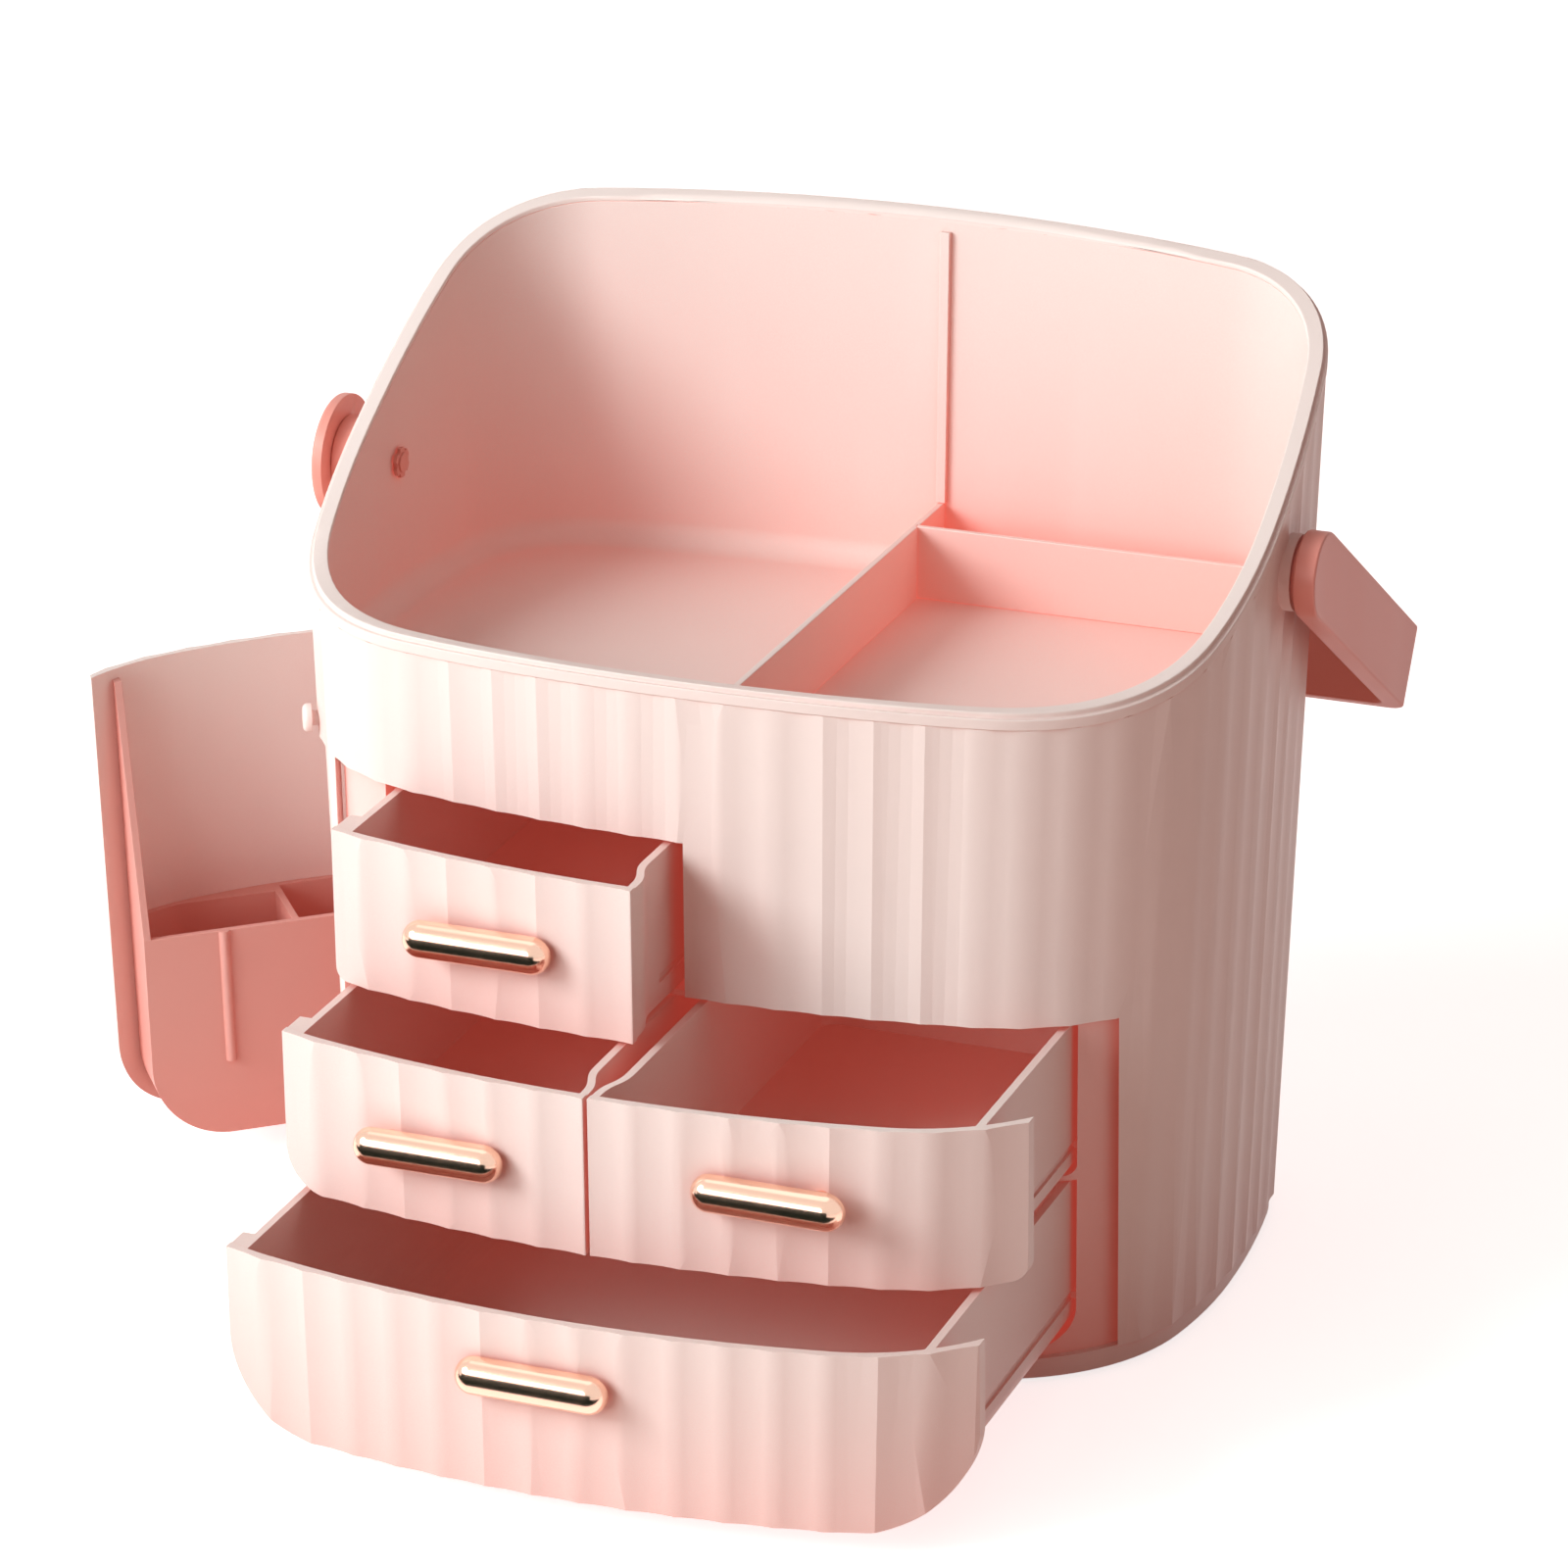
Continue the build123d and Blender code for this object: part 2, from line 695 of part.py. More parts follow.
# ---------------------------------------------------------------- base
with BuildPart() as base_plate:
    add(inside(plinth_inset, pad_stand, shell_z))
    add(inside(plinth_inset + plinth_wall, 0.0, shell_z - plinth_deck), mode=Mode.SUBTRACT)
    with BuildSketch(Plane.XY.offset(pad_stand)):
        with Locations(*pad_points):
            Circle(pad_radius + pad_boss_wall)
    extrude(amount=plinth_height)
    with BuildSketch(Plane.XY.offset(pad_stand)):
        with Locations(*pad_points):
            Circle(pad_radius)
    extrude(amount=pad_recess, mode=Mode.SUBTRACT)
    with BuildSketch(Plane.XY):
        with Locations(*base_screw_points):
            Circle(screw_radius + base_screw_clearance)
    extrude(amount=shell_z, mode=Mode.SUBTRACT)
base_plate.part.label = "base_plate"

with BuildPart() as foot_pads:
    with BuildSketch():
        with Locations(*pad_points):
            Circle(pad_radius)
    extrude(amount=pad_stand + pad_recess)
    chamfer(foot_pads.edges().group_by(Axis.Z)[0], 0.4)
foot_pads.part.label = "foot_pads"

with BuildPart() as base_screws:
    with BuildSketch(Plane.XY.offset(shell_z - plinth_deck - screw_head_height)):
        with Locations(*base_screw_points):
            Circle(screw_head_radius)
    extrude(amount=screw_head_height)
    with BuildSketch(Plane.XY.offset(shell_z - plinth_deck)):
        with Locations(*base_screw_points):
            Circle(screw_radius)
    extrude(amount=plinth_deck + base_screw_length - 1.0)
    with BuildSketch(Plane.XY.offset(shell_z - plinth_deck - screw_head_height)):
        with Locations(*base_screw_points):
            Rectangle(0.7, 1.4 * screw_head_radius)
            Rectangle(1.4 * screw_head_radius, 0.7)
    extrude(amount=screw_head_height / 2, mode=Mode.SUBTRACT)
base_screws.part.label = "base_screws"

# ---------------------------------------------------------------- drawers, drawn closed
def tray_plan(x0, x1, left_end, right_end, z, inset):
    """Plan of a tray: a side that ends off its line swings out to there behind the front."""
    flare_back = flare_front_y + flare_length
    with BuildSketch(Plane.XY.offset(z)) as plan:
        with BuildLine():
            for x, end in ((x0 + inset, left_end + inset), (x1 - inset, right_end - inset)):
                Line((x, flare_back), (x, tray_back_y - inset))
                Line((end, flare_front_y), (end, front_limit_y))
                if x == end:
                    Line((x, flare_front_y), (x, flare_back))
                else:
                    middle = (flare_front_y + flare_back) / 2
                    Bezier((x, flare_back), (x, middle), (end, middle), (end, flare_front_y))
            Line((x0 + inset, tray_back_y - inset), (x1 - inset, tray_back_y - inset))
            Line((left_end + inset, front_limit_y), (right_end - inset, front_limit_y))
        make_face()
        fillet(plan.vertices().group_by(Axis.Y)[-1], tray_plan_radius - inset)
    return plan.sketch


def tray_block(sides, ends, radii, z0, z1, inset):
    """Solid of a tray, or of its hollow when it is drawn with an inset."""
    low = [max(radius - inset, 0.0) for radius in radii]
    with BuildPart() as block:
        add(tray_plan(*sides, *ends, z0 - 1.0, inset))
        extrude(amount=z1 - z0 + 1.0)
        add(
            profile_block(
                min(sides[0], ends[0]) + inset,
                max(sides[1], ends[1]) - inset,
                z0,
                z1 + 1.0,
                *low,
                front_limit_y - 1.0,
                half_depth,
            ),
            mode=Mode.INTERSECT,
        )
    return block.part


def screw_seats(pull_x, pull_z):
    """Raised flat seats inside a front for the heads of its pull's screws."""
    with BuildPart() as seats:
        for x in (pull_x - pull_screw_offset, pull_x + pull_screw_offset):
            with BuildSketch(Plane.XZ.offset(-screw_seat_y(x, pull_z))):
                with Locations((x, pull_z)):
                    Circle(screw_pad_radius)
            extrude(amount=half_depth)
        add(tray_limit, mode=Mode.INTERSECT)
    return seats.part


def drawer(front_sides, front_radii, sides, ends, radii, heights, pull_x, pull_z):
    """One drawer: fluted front, tray, runner grooves and the seats of its pull's screws."""
    z0, z1, tray_z0, tray_z1 = heights
    with BuildPart() as tray:
        add(tray_block(sides, ends, radii, tray_z0, tray_z1, 0.0))
        if front_sides[0] < ends[0]:
            # the front's left end turns back beside the tray
            add(plain_block(front_sides[0], sides[0] + 1.0, front_limit_y, return_back_y, tray_z0, tray_z1))
        add(
            profile_block(*front_sides, z0, z1, *front_radii, front_limit_y, case_depth),
            mode=Mode.INTERSECT,
        )
        add(tray_limit, mode=Mode.INTERSECT)
        for side, root, low in ((1, sides[0], radii[0]), (-1, sides[1], radii[1])):
            z = groove_z(heights, low)
            x0, x1 = sorted((root - side * 0.5, root + side * groove_depth))
            add(
                plain_block(x0, x1, groove_start_y, half_depth, z - groove_height / 2, z + groove_height / 2),
                mode=Mode.SUBTRACT,
            )

    with BuildPart() as hollow:
        add(tray_block(sides, ends, radii, tray_z0 + tray_floor, tray_z1 + front_gap, tray_wall))
        add(front_blank, mode=Mode.INTERSECT)

    with BuildPart() as body:
        add(skin_blank)
        add(
            profile_block(*front_sides, z0, z1, *front_radii, front_limit_y, front_cut_y),
            mode=Mode.INTERSECT,
        )
        add(front_blank, mode=Mode.SUBTRACT)
        add(tray.part)
        add(hollow.part, mode=Mode.SUBTRACT)
        add(screw_seats(pull_x, pull_z))
        with BuildSketch(Plane.XZ.offset(-cabinet_front_y)):
            with Locations((pull_x - pull_screw_offset, pull_z), (pull_x + pull_screw_offset, pull_z)):
                Circle(screw_radius + screw_clearance)
        extrude(amount=half_depth, mode=Mode.SUBTRACT)
    return body.part


def screw_seat_y(x, z):
    """Y of the flat seat inside a front for the head of a pull's screw."""
    return front_y(abs(x) + screw_pad_radius, z, front_wall) + screw_pad_height / 2


def pull_back_y(x, z):
    """Y of the flat back of a pull, clear of the bowed front at its nearer end."""
    return front_y(max(abs(x) - pull_length / 2, 0.0), z) - pull_standoff


def pull(x, z):
    """Half-round bar on two short posts that stand on the fluted front."""
    back_y = pull_back_y(x, z)
    with BuildPart() as bar:
        with BuildSketch(Plane.XZ.offset(-back_y)):
            with Locations((x, z)):
                SlotOverall(pull_length, pull_height)
        extrude(amount=pull_depth)
        fillet(bar.edges().group_by(Axis.Y)[0], pull_round)
    with BuildPart() as whole:
        with BuildSketch(Plane.XZ.offset(-screw_seat_y(x, z))):
            with Locations((x - pull_screw_offset, z), (x + pull_screw_offset, z)):
                Circle(pull_post_radius)
        extrude(amount=screw_seat_y(x, z) - back_y + 0.5)
        add(skin_blank, mode=Mode.SUBTRACT)
        add(bar.part)
        with BuildSketch(Plane.XZ.offset(-cabinet_front_y)):
            with Locations((x - pull_screw_offset, z), (x + pull_screw_offset, z)):
                Circle(screw_radius)
        extrude(amount=cabinet_front_y - back_y + screw_grip, mode=Mode.SUBTRACT)
    return whole.part


def pull_screws(x, z):
    """The two screws of a pull, heads on their seats inside the front."""
    tip_y = pull_back_y(x, z) - screw_grip + 0.4
    with BuildPart() as screws:
        for place in (x - pull_screw_offset, x + pull_screw_offset):
            seat_y = screw_seat_y(place, z)
            with BuildSketch(Plane.XZ.offset(-seat_y - screw_head_height)):
                with Locations((place, z)):
                    Circle(screw_head_radius)
            extrude(amount=screw_head_height)
            with BuildSketch(Plane.XZ.offset(-seat_y)):
                with Locations((place, z)):
                    Circle(screw_radius)
            extrude(amount=seat_y - tip_y)
            with BuildSketch(Plane.XZ.offset(-seat_y - screw_head_height)):
                with Locations((place, z)):
                    Rectangle(0.7, 1.4 * screw_head_radius)
                    Rectangle(1.4 * screw_head_radius, 0.7)
            extrude(amount=screw_head_height / 2, mode=Mode.SUBTRACT)
    return screws.part


def middle(heights):
    """Middle height of a front."""
    return (heights[0] + heights[1]) / 2


# Name, front sides and low radii, tray sides, ends and low radii, row, pull place, distance open
drawers = [
    (
        "top_left",
        (front_left, left_front_end),
        (small_corner_radius, 0.0),
        (tray_left, left_tray_end),
        (tray_left, left_front_end),
        (small_tray_corner, 0.0),
        top_row,
        (left_pull_x, middle(top_row)),
        top_left_open,
    ),
    (
        "mid_left",
        (front_left, left_front_end),
        (middle_corner_radius, 0.0),
        (tray_left, left_tray_end),
        (tray_left, left_front_end),
        (small_tray_corner, 0.0),
        middle_row,
        (left_pull_x, middle(middle_row)),
        middle_open,
    ),
    (
        "mid_right",
        (right_front_start, front_right),
        (0.0, small_corner_radius),
        (right_tray_start, tray_right),
        (right_front_start, tray_right),
        (0.0, small_tray_corner),
        middle_row,
        (right_pull_x, middle(middle_row) + right_pull_rise),
        middle_open,
    ),
    (
        "bottom",
        (front_left, front_right),
        (bottom_corner_radius, bottom_corner_radius),
        (tray_left, tray_right),
        (tray_left, tray_right),
        (wide_tray_corner, tray_corner_radius),
        bottom_row,
        (bottom_pull_x, middle(bottom_row) + bottom_pull_rise),
        bottom_open,
    ),
]
moved_parts = []
for name, fronts, front_radii, sides, ends, radii, heights, place, distance in drawers:
    rest = Location((0, -distance, 0))
    box = drawer(fronts, front_radii, sides, ends, radii, heights, *place)
    moved_parts.append(("drawer_" + name, box, rest))
    moved_parts.append(("pull_" + name, pull(*place), rest))
    moved_parts.append(("pull_screws_" + name, pull_screws(*place), rest))

# ---------------------------------------------------------------- side door and brush bin, drawn closed
with BuildPart() as side_door:
    add(skin_blank)
    add(
        door_window(door_free_y, door_bottom_z, door_top_z, 0.0, door_corner_radius),
        mode=Mode.INTERSECT,
    )
    add(inside(door_wall), mode=Mode.SUBTRACT)
    add(hinge_rod(door_bottom_z, barrel_radius, door_top_z - door_bottom_z))
    add(hinge_rod(door_bottom_z - 1.0, hinge_pin_radius + hinge_fit, hinge_pin_length), mode=Mode.SUBTRACT)
    add(
        hinge_rod(door_top_z - hinge_pin_length + 1.0, hinge_pin_radius + hinge_fit, hinge_pin_length),
        mode=Mode.SUBTRACT,
    )


def bin_block(x0, x1, y0, y1, z0, z1, radius):
    """Block beside the door with the low edge at its free end rounded."""
    with BuildPart() as block:
        with BuildSketch(Plane.YZ.offset(x0)) as outline:
            with Locations(((y0 + y1) / 2, (z0 + z1) / 2)):
                Rectangle(y1 - y0, z1 - z0)
            if radius:
                fillet(outline.vertices().group_by(Axis.Y)[0].sort_by(Axis.X)[0], radius)
        extrude(amount=x1 - x0)
    return block.part


bin_deep_x = -half_width
bin_side = (bin_deep_x, bin_plate_x, bin_front_y, bin_back_y)
bin_inner_x = bin_plate_x - bin_wall
pocket_z = door_bottom_z + bin_wall
pocket_top = door_top_z
pocket_split = bin_divider_y + bin_wall / 2

with BuildPart() as bin_pockets:
    add(
        bin_block(
            bin_deep_x, bin_inner_x, pocket_split, bin_back_y - bin_wall, pocket_z, pocket_top, 0.0
        )
    )
    add(
        bin_block(
            bin_pocket_x,
            bin_inner_x,
            bin_front_y + bin_wall,
            pocket_split - bin_wall,
            pocket_z,
            pocket_top,
            bin_corner_radius - bin_wall,
        )
    )
    add(inside(door_wall + bin_fit + bin_wall), mode=Mode.INTERSECT)

with BuildPart() as brush_bin:
    add(bin_block(*bin_side, door_bottom_z, bin_top_z, bin_corner_radius))
    # half-round upright on the plate
    with BuildSketch(Plane.XY.offset(door_bottom_z + bin_corner_radius)):
        with Locations((bin_plate_x, bin_rib_y)):
            Ellipse(bin_rib_depth, bin_rib_width / 2)
    extrude(amount=bin_top_z - door_bottom_z - bin_corner_radius)
    # tapering wing of the end wall, up to the top of the door
    with BuildSketch(Plane.XZ.offset(-bin_front_y - bin_wall)):
        with BuildLine():
            Polyline(
                (bin_plate_x, bin_top_z),
                (gusset_top_x, door_top_z - gusset_top_gap),
                (bin_deep_x, door_top_z - gusset_top_gap),
                (bin_deep_x, bin_top_z - bin_wall),
                (bin_plate_x, bin_top_z - bin_wall),
                close=True,
            )
        make_face()
    extrude(amount=bin_wall)
    add(inside(door_wall + bin_fit), mode=Mode.INTERSECT)
    add(bin_pockets.part, mode=Mode.SUBTRACT)

for name, part in (("side_door", side_door.part), ("brush_bin", brush_bin.part)):
    turned = part.rotate(hinge_axis, -door_open_angle)
    moved_parts.append((name, turned, Location()))

with BuildPart() as hinge_pins:
    add(hinge_rod(shell_z + 0.6, hinge_pin_radius, hinge_pin_length))
    add(hinge_rod(door_top_z + hinge_pin_bury - hinge_pin_length - 0.1, hinge_pin_radius, hinge_pin_length))
hinge_pins.part.label = "hinge_pins"

# ---------------------------------------------------------------- door button
with BuildPart() as door_button:
    add(button_rod(button_travel + 0.2 + button_height, button_radius, button_height))
    outward = Axis((0, 0, 0), button_out)
    fillet(door_button.faces().sort_by(outward)[-1].edges(), button_round)
    add(button_rod(button_travel + 0.3, button_stem_radius, button_travel + skin_wall + 0.6))
    add(button_rod(-skin_wall - 0.15, button_collar_radius, button_collar_height))
door_button.part.label = "door_button"

# ---------------------------------------------------------------- carry handle and its pivots
arm_direction = (0, cos(radians(handle_angle)), sin(radians(handle_angle)))
arm_length = arm_reach + crossbar_thickness
retainer_x = side_x(pivot_y + retainer_radius, pivot_z - retainer_radius, bowl_inner_inset) - retainer_gap
pin_end_x = retainer_x - retainer_thickness - pin_tip

with BuildPart() as arm_profile:
    with BuildSketch(Plane(origin=(-case_width, pivot_y, pivot_z), x_dir=arm_direction, z_dir=(1, 0, 0))):
        Circle(arm_half_width)
        Rectangle(arm_length, 2 * arm_half_width, align=(Align.MIN, Align.CENTER))
    extrude(amount=2 * case_width)

with BuildPart() as carry_handle:
    with BuildSketch(
        Plane(origin=(0, pivot_y, pivot_z), x_dir=(1, 0, 0), z_dir=(0, -arm_direction[2], arm_direction[1]))
    ) as bow:
        with Locations((0, (arm_length - arm_half_width) / 2)):
            Rectangle(2 * arm_outer_x, arm_length + arm_half_width)
        fillet(bow.vertices().group_by(Axis.Y)[-1], handle_outer_round)
        with BuildSketch(mode=Mode.PRIVATE) as gap:
            with Locations((0, (arm_reach - 2 * arm_half_width) / 2)):
                Rectangle(2 * arm_inner_x, arm_reach + 2 * arm_half_width)
            fillet(gap.vertices().group_by(Axis.Y)[-1], handle_inner_round)
        add(gap.sketch, mode=Mode.SUBTRACT)
    extrude(amount=arm_half_width, both=True)
    add(arm_profile.part, mode=Mode.INTERSECT)
    add(side_disc(-case_width, cap_boss_radius + cap_boss_fit, case_width - 20.0), mode=Mode.SUBTRACT)
    # stud of the right arm
    add(side_disc(pin_end_x, pivot_pin_radius, arm_inner_x - pin_end_x + 1.0))
carry_handle.part.label = "carry_handle"

with BuildPart() as pivot_cap_left:
    add(side_disc(-arm_outer_x - cap_thickness, cap_radius, cap_thickness))
    fillet(pivot_cap_left.edges().group_by(Axis.X)[0], cap_round)
    add(side_disc(-arm_outer_x - 0.5, cap_boss_radius, arm_thickness + 0.5))
    add(side_disc(-arm_outer_x, pivot_pin_radius, arm_outer_x - pin_end_x))
pivot_cap_left.part.label = "pivot_cap_left"

with BuildPart() as pivot_washers:
    for x in (pad_face_x + washer_play, -pad_face_x - washer_play - washer_thickness):
        with BuildSketch(Plane(origin=(x, pivot_y, pivot_z), x_dir=(0, 1, 0), z_dir=(1, 0, 0))):
            Circle(washer_radius)
            Circle(pivot_hole_radius, mode=Mode.SUBTRACT)
        extrude(amount=washer_thickness)
pivot_washers.part.label = "pivot_washers"

# toothed rings that hold the pins inside the bowl
with BuildPart() as pivot_retainers:
    for x in (retainer_x - retainer_thickness, -retainer_x):
        with BuildSketch(Plane(origin=(x, pivot_y, pivot_z), x_dir=(0, 1, 0), z_dir=(1, 0, 0))):
            Circle(retainer_radius)
            with PolarLocations(retainer_radius, 6):
                Circle(retainer_tooth_radius, mode=Mode.SUBTRACT)
            Circle(pivot_pin_radius, mode=Mode.SUBTRACT)
        extrude(amount=retainer_thickness)
pivot_retainers.part.label = "pivot_retainers"

# ---------------------------------------------------------------- export
still_parts = [
    outer_shell,
    rim_ring,
    top_bowl,
    divider_long,
    divider_cross,
    drawer_cabinet,
    cabinet_back,
    base_plate,
    foot_pads,
    base_screws,
    hinge_pins,
    door_button,
    carry_handle,
    pivot_cap_left,
    pivot_washers,
    pivot_retainers,
]
for still in still_parts:
    export_step(still.part, "parts/" + still.part.label + ".step")

for name, part, location in moved_parts:
    placed = part.moved(location)
    placed.label = name
    export_step(placed, "parts/" + name + ".step")
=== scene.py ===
"""Looks of the fluted makeup storage case: pieces, finishes, studio and camera."""

import math

import bmesh
import bpy
from bpy.props import FloatProperty, FloatVectorProperty, IntProperty, PointerProperty
from mathutils import Matrix, Vector


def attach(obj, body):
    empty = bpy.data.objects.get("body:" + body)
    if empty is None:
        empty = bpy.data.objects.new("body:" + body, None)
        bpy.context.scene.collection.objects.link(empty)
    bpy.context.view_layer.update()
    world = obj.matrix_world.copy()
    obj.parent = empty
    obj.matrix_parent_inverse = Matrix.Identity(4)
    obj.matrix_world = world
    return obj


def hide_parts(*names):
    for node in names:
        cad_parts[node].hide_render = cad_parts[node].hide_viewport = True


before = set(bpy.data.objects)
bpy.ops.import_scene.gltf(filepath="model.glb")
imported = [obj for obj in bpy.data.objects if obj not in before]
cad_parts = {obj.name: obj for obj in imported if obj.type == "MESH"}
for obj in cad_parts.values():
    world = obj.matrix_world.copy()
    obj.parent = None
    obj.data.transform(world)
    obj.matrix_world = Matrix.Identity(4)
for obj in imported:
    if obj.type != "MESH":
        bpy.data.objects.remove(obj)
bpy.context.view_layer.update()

bl_info = {
    "name": "Makeup storage case",
    "version": (1, 0, 0),
    "blender": (4, 5, 0),
    "location": "3D View > Sidebar > Makeup Case",
    "description": "Dresses the fluted makeup case and sets up its studio",
    "category": "Object",
}

MM = 0.001

# Camera of the photograph, in metres and degrees
CAMERA_PLACE = (0.5926, -1.5603, 0.7889)
CAMERA_TURN = 20.99
CAMERA_DOWN = 21.267
CAMERA_LENS = 141.43
CAMERA_SENSOR = 36.0

CAMERA_REACH = 20.0

# Round lamps: place, width in metres and power in watts, all aimed at the case's middle
CASE_MIDDLE = (0.0, -0.02, 0.14)
LIGHTS = {
    "key": ((-1.8, -1.62, 1.42), 1.35, 56.0),
    "front": ((-0.9, -2.2, 0.75), 1.5, 18.0),
    "top": ((-0.3, 0.2, 2.2), 1.5, 3.0),
}

# Room light: its colour and power, and how it falls off towards the right and upwards
ROOM_COLOR = (1.0, 0.52, 0.43, 1.0)
ROOM_POWER = 0.39
ROOM_LEFT_TO_RIGHT = -0.45
ROOM_LOW_TO_HIGH = -0.30

# Floor: half its width, its colour in view, and the warm colour of the light that it sends up
FLOOR_REACH = 8.0
FLOOR_COLOR = (0.93, 0.93, 0.93, 1.0)
FLOOR_BOUNCE = (0.85, 0.57, 0.51, 1.0)
FLOOR_GLOW = 0.75
WHITE = (1.0, 1.0, 1.0, 1.0)
BLACK = (0.0, 0.0, 0.0, 1.0)

# Dark card that only polished metal sees, in metres: it lies in front of the case and then rises
CARD_LEFT, CARD_RIGHT = -1.3, 0.4
CARD_NEAR, CARD_FAR = -0.26, -1.0
CARD_LOW, CARD_HIGH = 0.002, 0.30
CARD_COLOR = (0.010, 0.020, 0.016, 1.0)

# Moulded plastic: scales of its colour drift, flow streaks and grain, and how gloss wanders
DRIFT_SCALE = 14.0
STREAK_STRETCH = (40.0, 40.0, 3.0)
STREAK_HEIGHT = 0.5
# painted shade and glow in the hollows: samples of the sky test, and how fast the glow falls off
PAINTED_SHADE_SAMPLES = 3
PAINTED_GLOW_FALL = 3.0
PLASTIC_GLOSS_SWING = (-0.05, 0.07)
PLASTIC_SHINE = 0.42
PLASTIC_IOR = 1.5
PLASTIC_BUMP = 0.35
FINE_GRAIN = 0.03 * MM
COARSE_GRAIN = 0.08 * MM

# Drawn metal: stretch of its lines, scale of its clouds, swing of gloss and of brightness
LINE_STRETCH = (0.02, 1.0, 1.0)
CLOUD_SCALE = 120.0
METAL_GLOSS_SWING = (-0.04, 0.06)
METAL_SHADE_SWING = (0.94, 1.04)
METAL_BUMP = 0.3
METAL_GRAIN = 0.004 * MM
STEEL_COLOR = (0.62, 0.62, 0.64)
PAD_COLOR = (0.62, 0.40, 0.36)

# Shading and rounding of the pieces; the rim's other edges take a share of its inner round
SMOOTH_BELOW = math.radians(26.0)
RIDGE_SMOOTH_BELOW = math.radians(14.0)
ROUND_ABOVE = math.radians(30.0)
FLAT_WITHIN = math.radians(0.4)
MERGE_GAP = 0.001 * MM
RIM_INNER_ROUND = 2.6 * MM
RIM_OUTER_SHARE = 0.32
RIM_OTHER_SHARE = 0.15
RIM_STEPS = 4
RIM_TOP_WITHIN = 0.1 * MM
ROUNDING_WEIGHT = "bevel_weight_edge"

# Screws: head and thread, the recess as shares of the head, and how the second slot differs
HEAD_RADIUS = 2.8 * MM
HEAD_HEIGHT = 1.8 * MM
HEAD_TAPER = 0.86
SLOT_LENGTH_SHARE = 1.3
SLOT_WIDTH_SHARE = 0.26
SECOND_SLOT_SCALE = (0.97, 1.03, 0.9)
THREAD_PITCH = 0.8 * MM
THREAD_SWING = 0.06
THREAD_MIDDLE = 0.9

DRAWERS = ("top_left", "mid_left", "mid_right", "bottom")


class CaseSettings(bpy.types.PropertyGroup):
    """Colours and sizes of the case's finish."""

    skin_color: FloatVectorProperty(
        name="Skin colour", description="Pale pink of the skin, drawers and bowl", subtype="COLOR",
        size=3, min=0.0, max=1.0, default=(0.84, 0.835, 0.80),
    )
    # painted shade: a deeper pink copy of the skin's plastic for the shaded bays
    inner_color_with_painted_shade: FloatVectorProperty(
        name="Inner colour", description="Pink of the drawer cabinet and its bays", subtype="COLOR",
        size=3, min=0.0, max=1.0, default=(0.91, 0.72, 0.68),
    )
    # painted shade: coral painted into the plastic's colour in its hollows, also the colour of its
    # painted glow
    painted_shade_color: FloatVectorProperty(
        name="Painted shade colour", description="Coral painted as shade and glow in the hollows",
        subtype="COLOR", size=3, min=0.0, max=1.0, default=(0.76, 0.17, 0.12),
    )
    handle_color: FloatVectorProperty(
        name="Handle colour", description="Pink of the handle and its pivots", subtype="COLOR",
        size=3, min=0.0, max=1.0, default=(0.80, 0.36, 0.30),
    )
    # painted shade: a darker pink copy of the skin's plastic, for the bin in shade
    bin_color_with_painted_shade: FloatVectorProperty(
        name="Bin colour", description="Deeper pink of the brush bin", subtype="COLOR",
        size=3, min=0.0, max=1.0, default=(0.68, 0.40, 0.355),
    )
    pull_color: FloatVectorProperty(
        name="Pull colour", description="Rose gold of the bar pulls", subtype="COLOR",
        size=3, min=0.0, max=1.0, default=(0.95, 0.62, 0.47),
    )
    edge_round: FloatProperty(
        name="Edge rounding", description="Radius that softens the moulded edges", unit="LENGTH",
        min=0.0, max=0.002, default=0.0005,
    )
    edge_steps: IntProperty(
        name="Edge steps", description="Faces across a rounded edge", min=1, max=4, default=2,
    )


def settings():
    """The case's settings in this scene."""
    return bpy.context.scene.makeup_case


# ------------------------------------------------------------------ node helpers
def place(tree, kind, **values):
    """Adds a node and fills its settings or its unlinked inputs."""
    node = tree.nodes.new(kind)
    for key, value in values.items():
        if key in node.inputs:
            node.inputs[key].default_value = value
        else:
            setattr(node, key, value)
    return node


def new_group(name, inputs, outputs):
    """Empty shader group with named sockets: (name, socket type, default)."""
    group = bpy.data.node_groups.new(name, "ShaderNodeTree")
    for label, kind, default in inputs:
        socket = group.interface.new_socket(label, in_out="INPUT", socket_type=kind)
        socket.default_value = default
    for label, kind in outputs:
        group.interface.new_socket(label, in_out="OUTPUT", socket_type=kind)
    return group, group.nodes.new("NodeGroupInput"), group.nodes.new("NodeGroupOutput")


FLOAT, COLOR = "NodeSocketFloat", "NodeSocketColor"


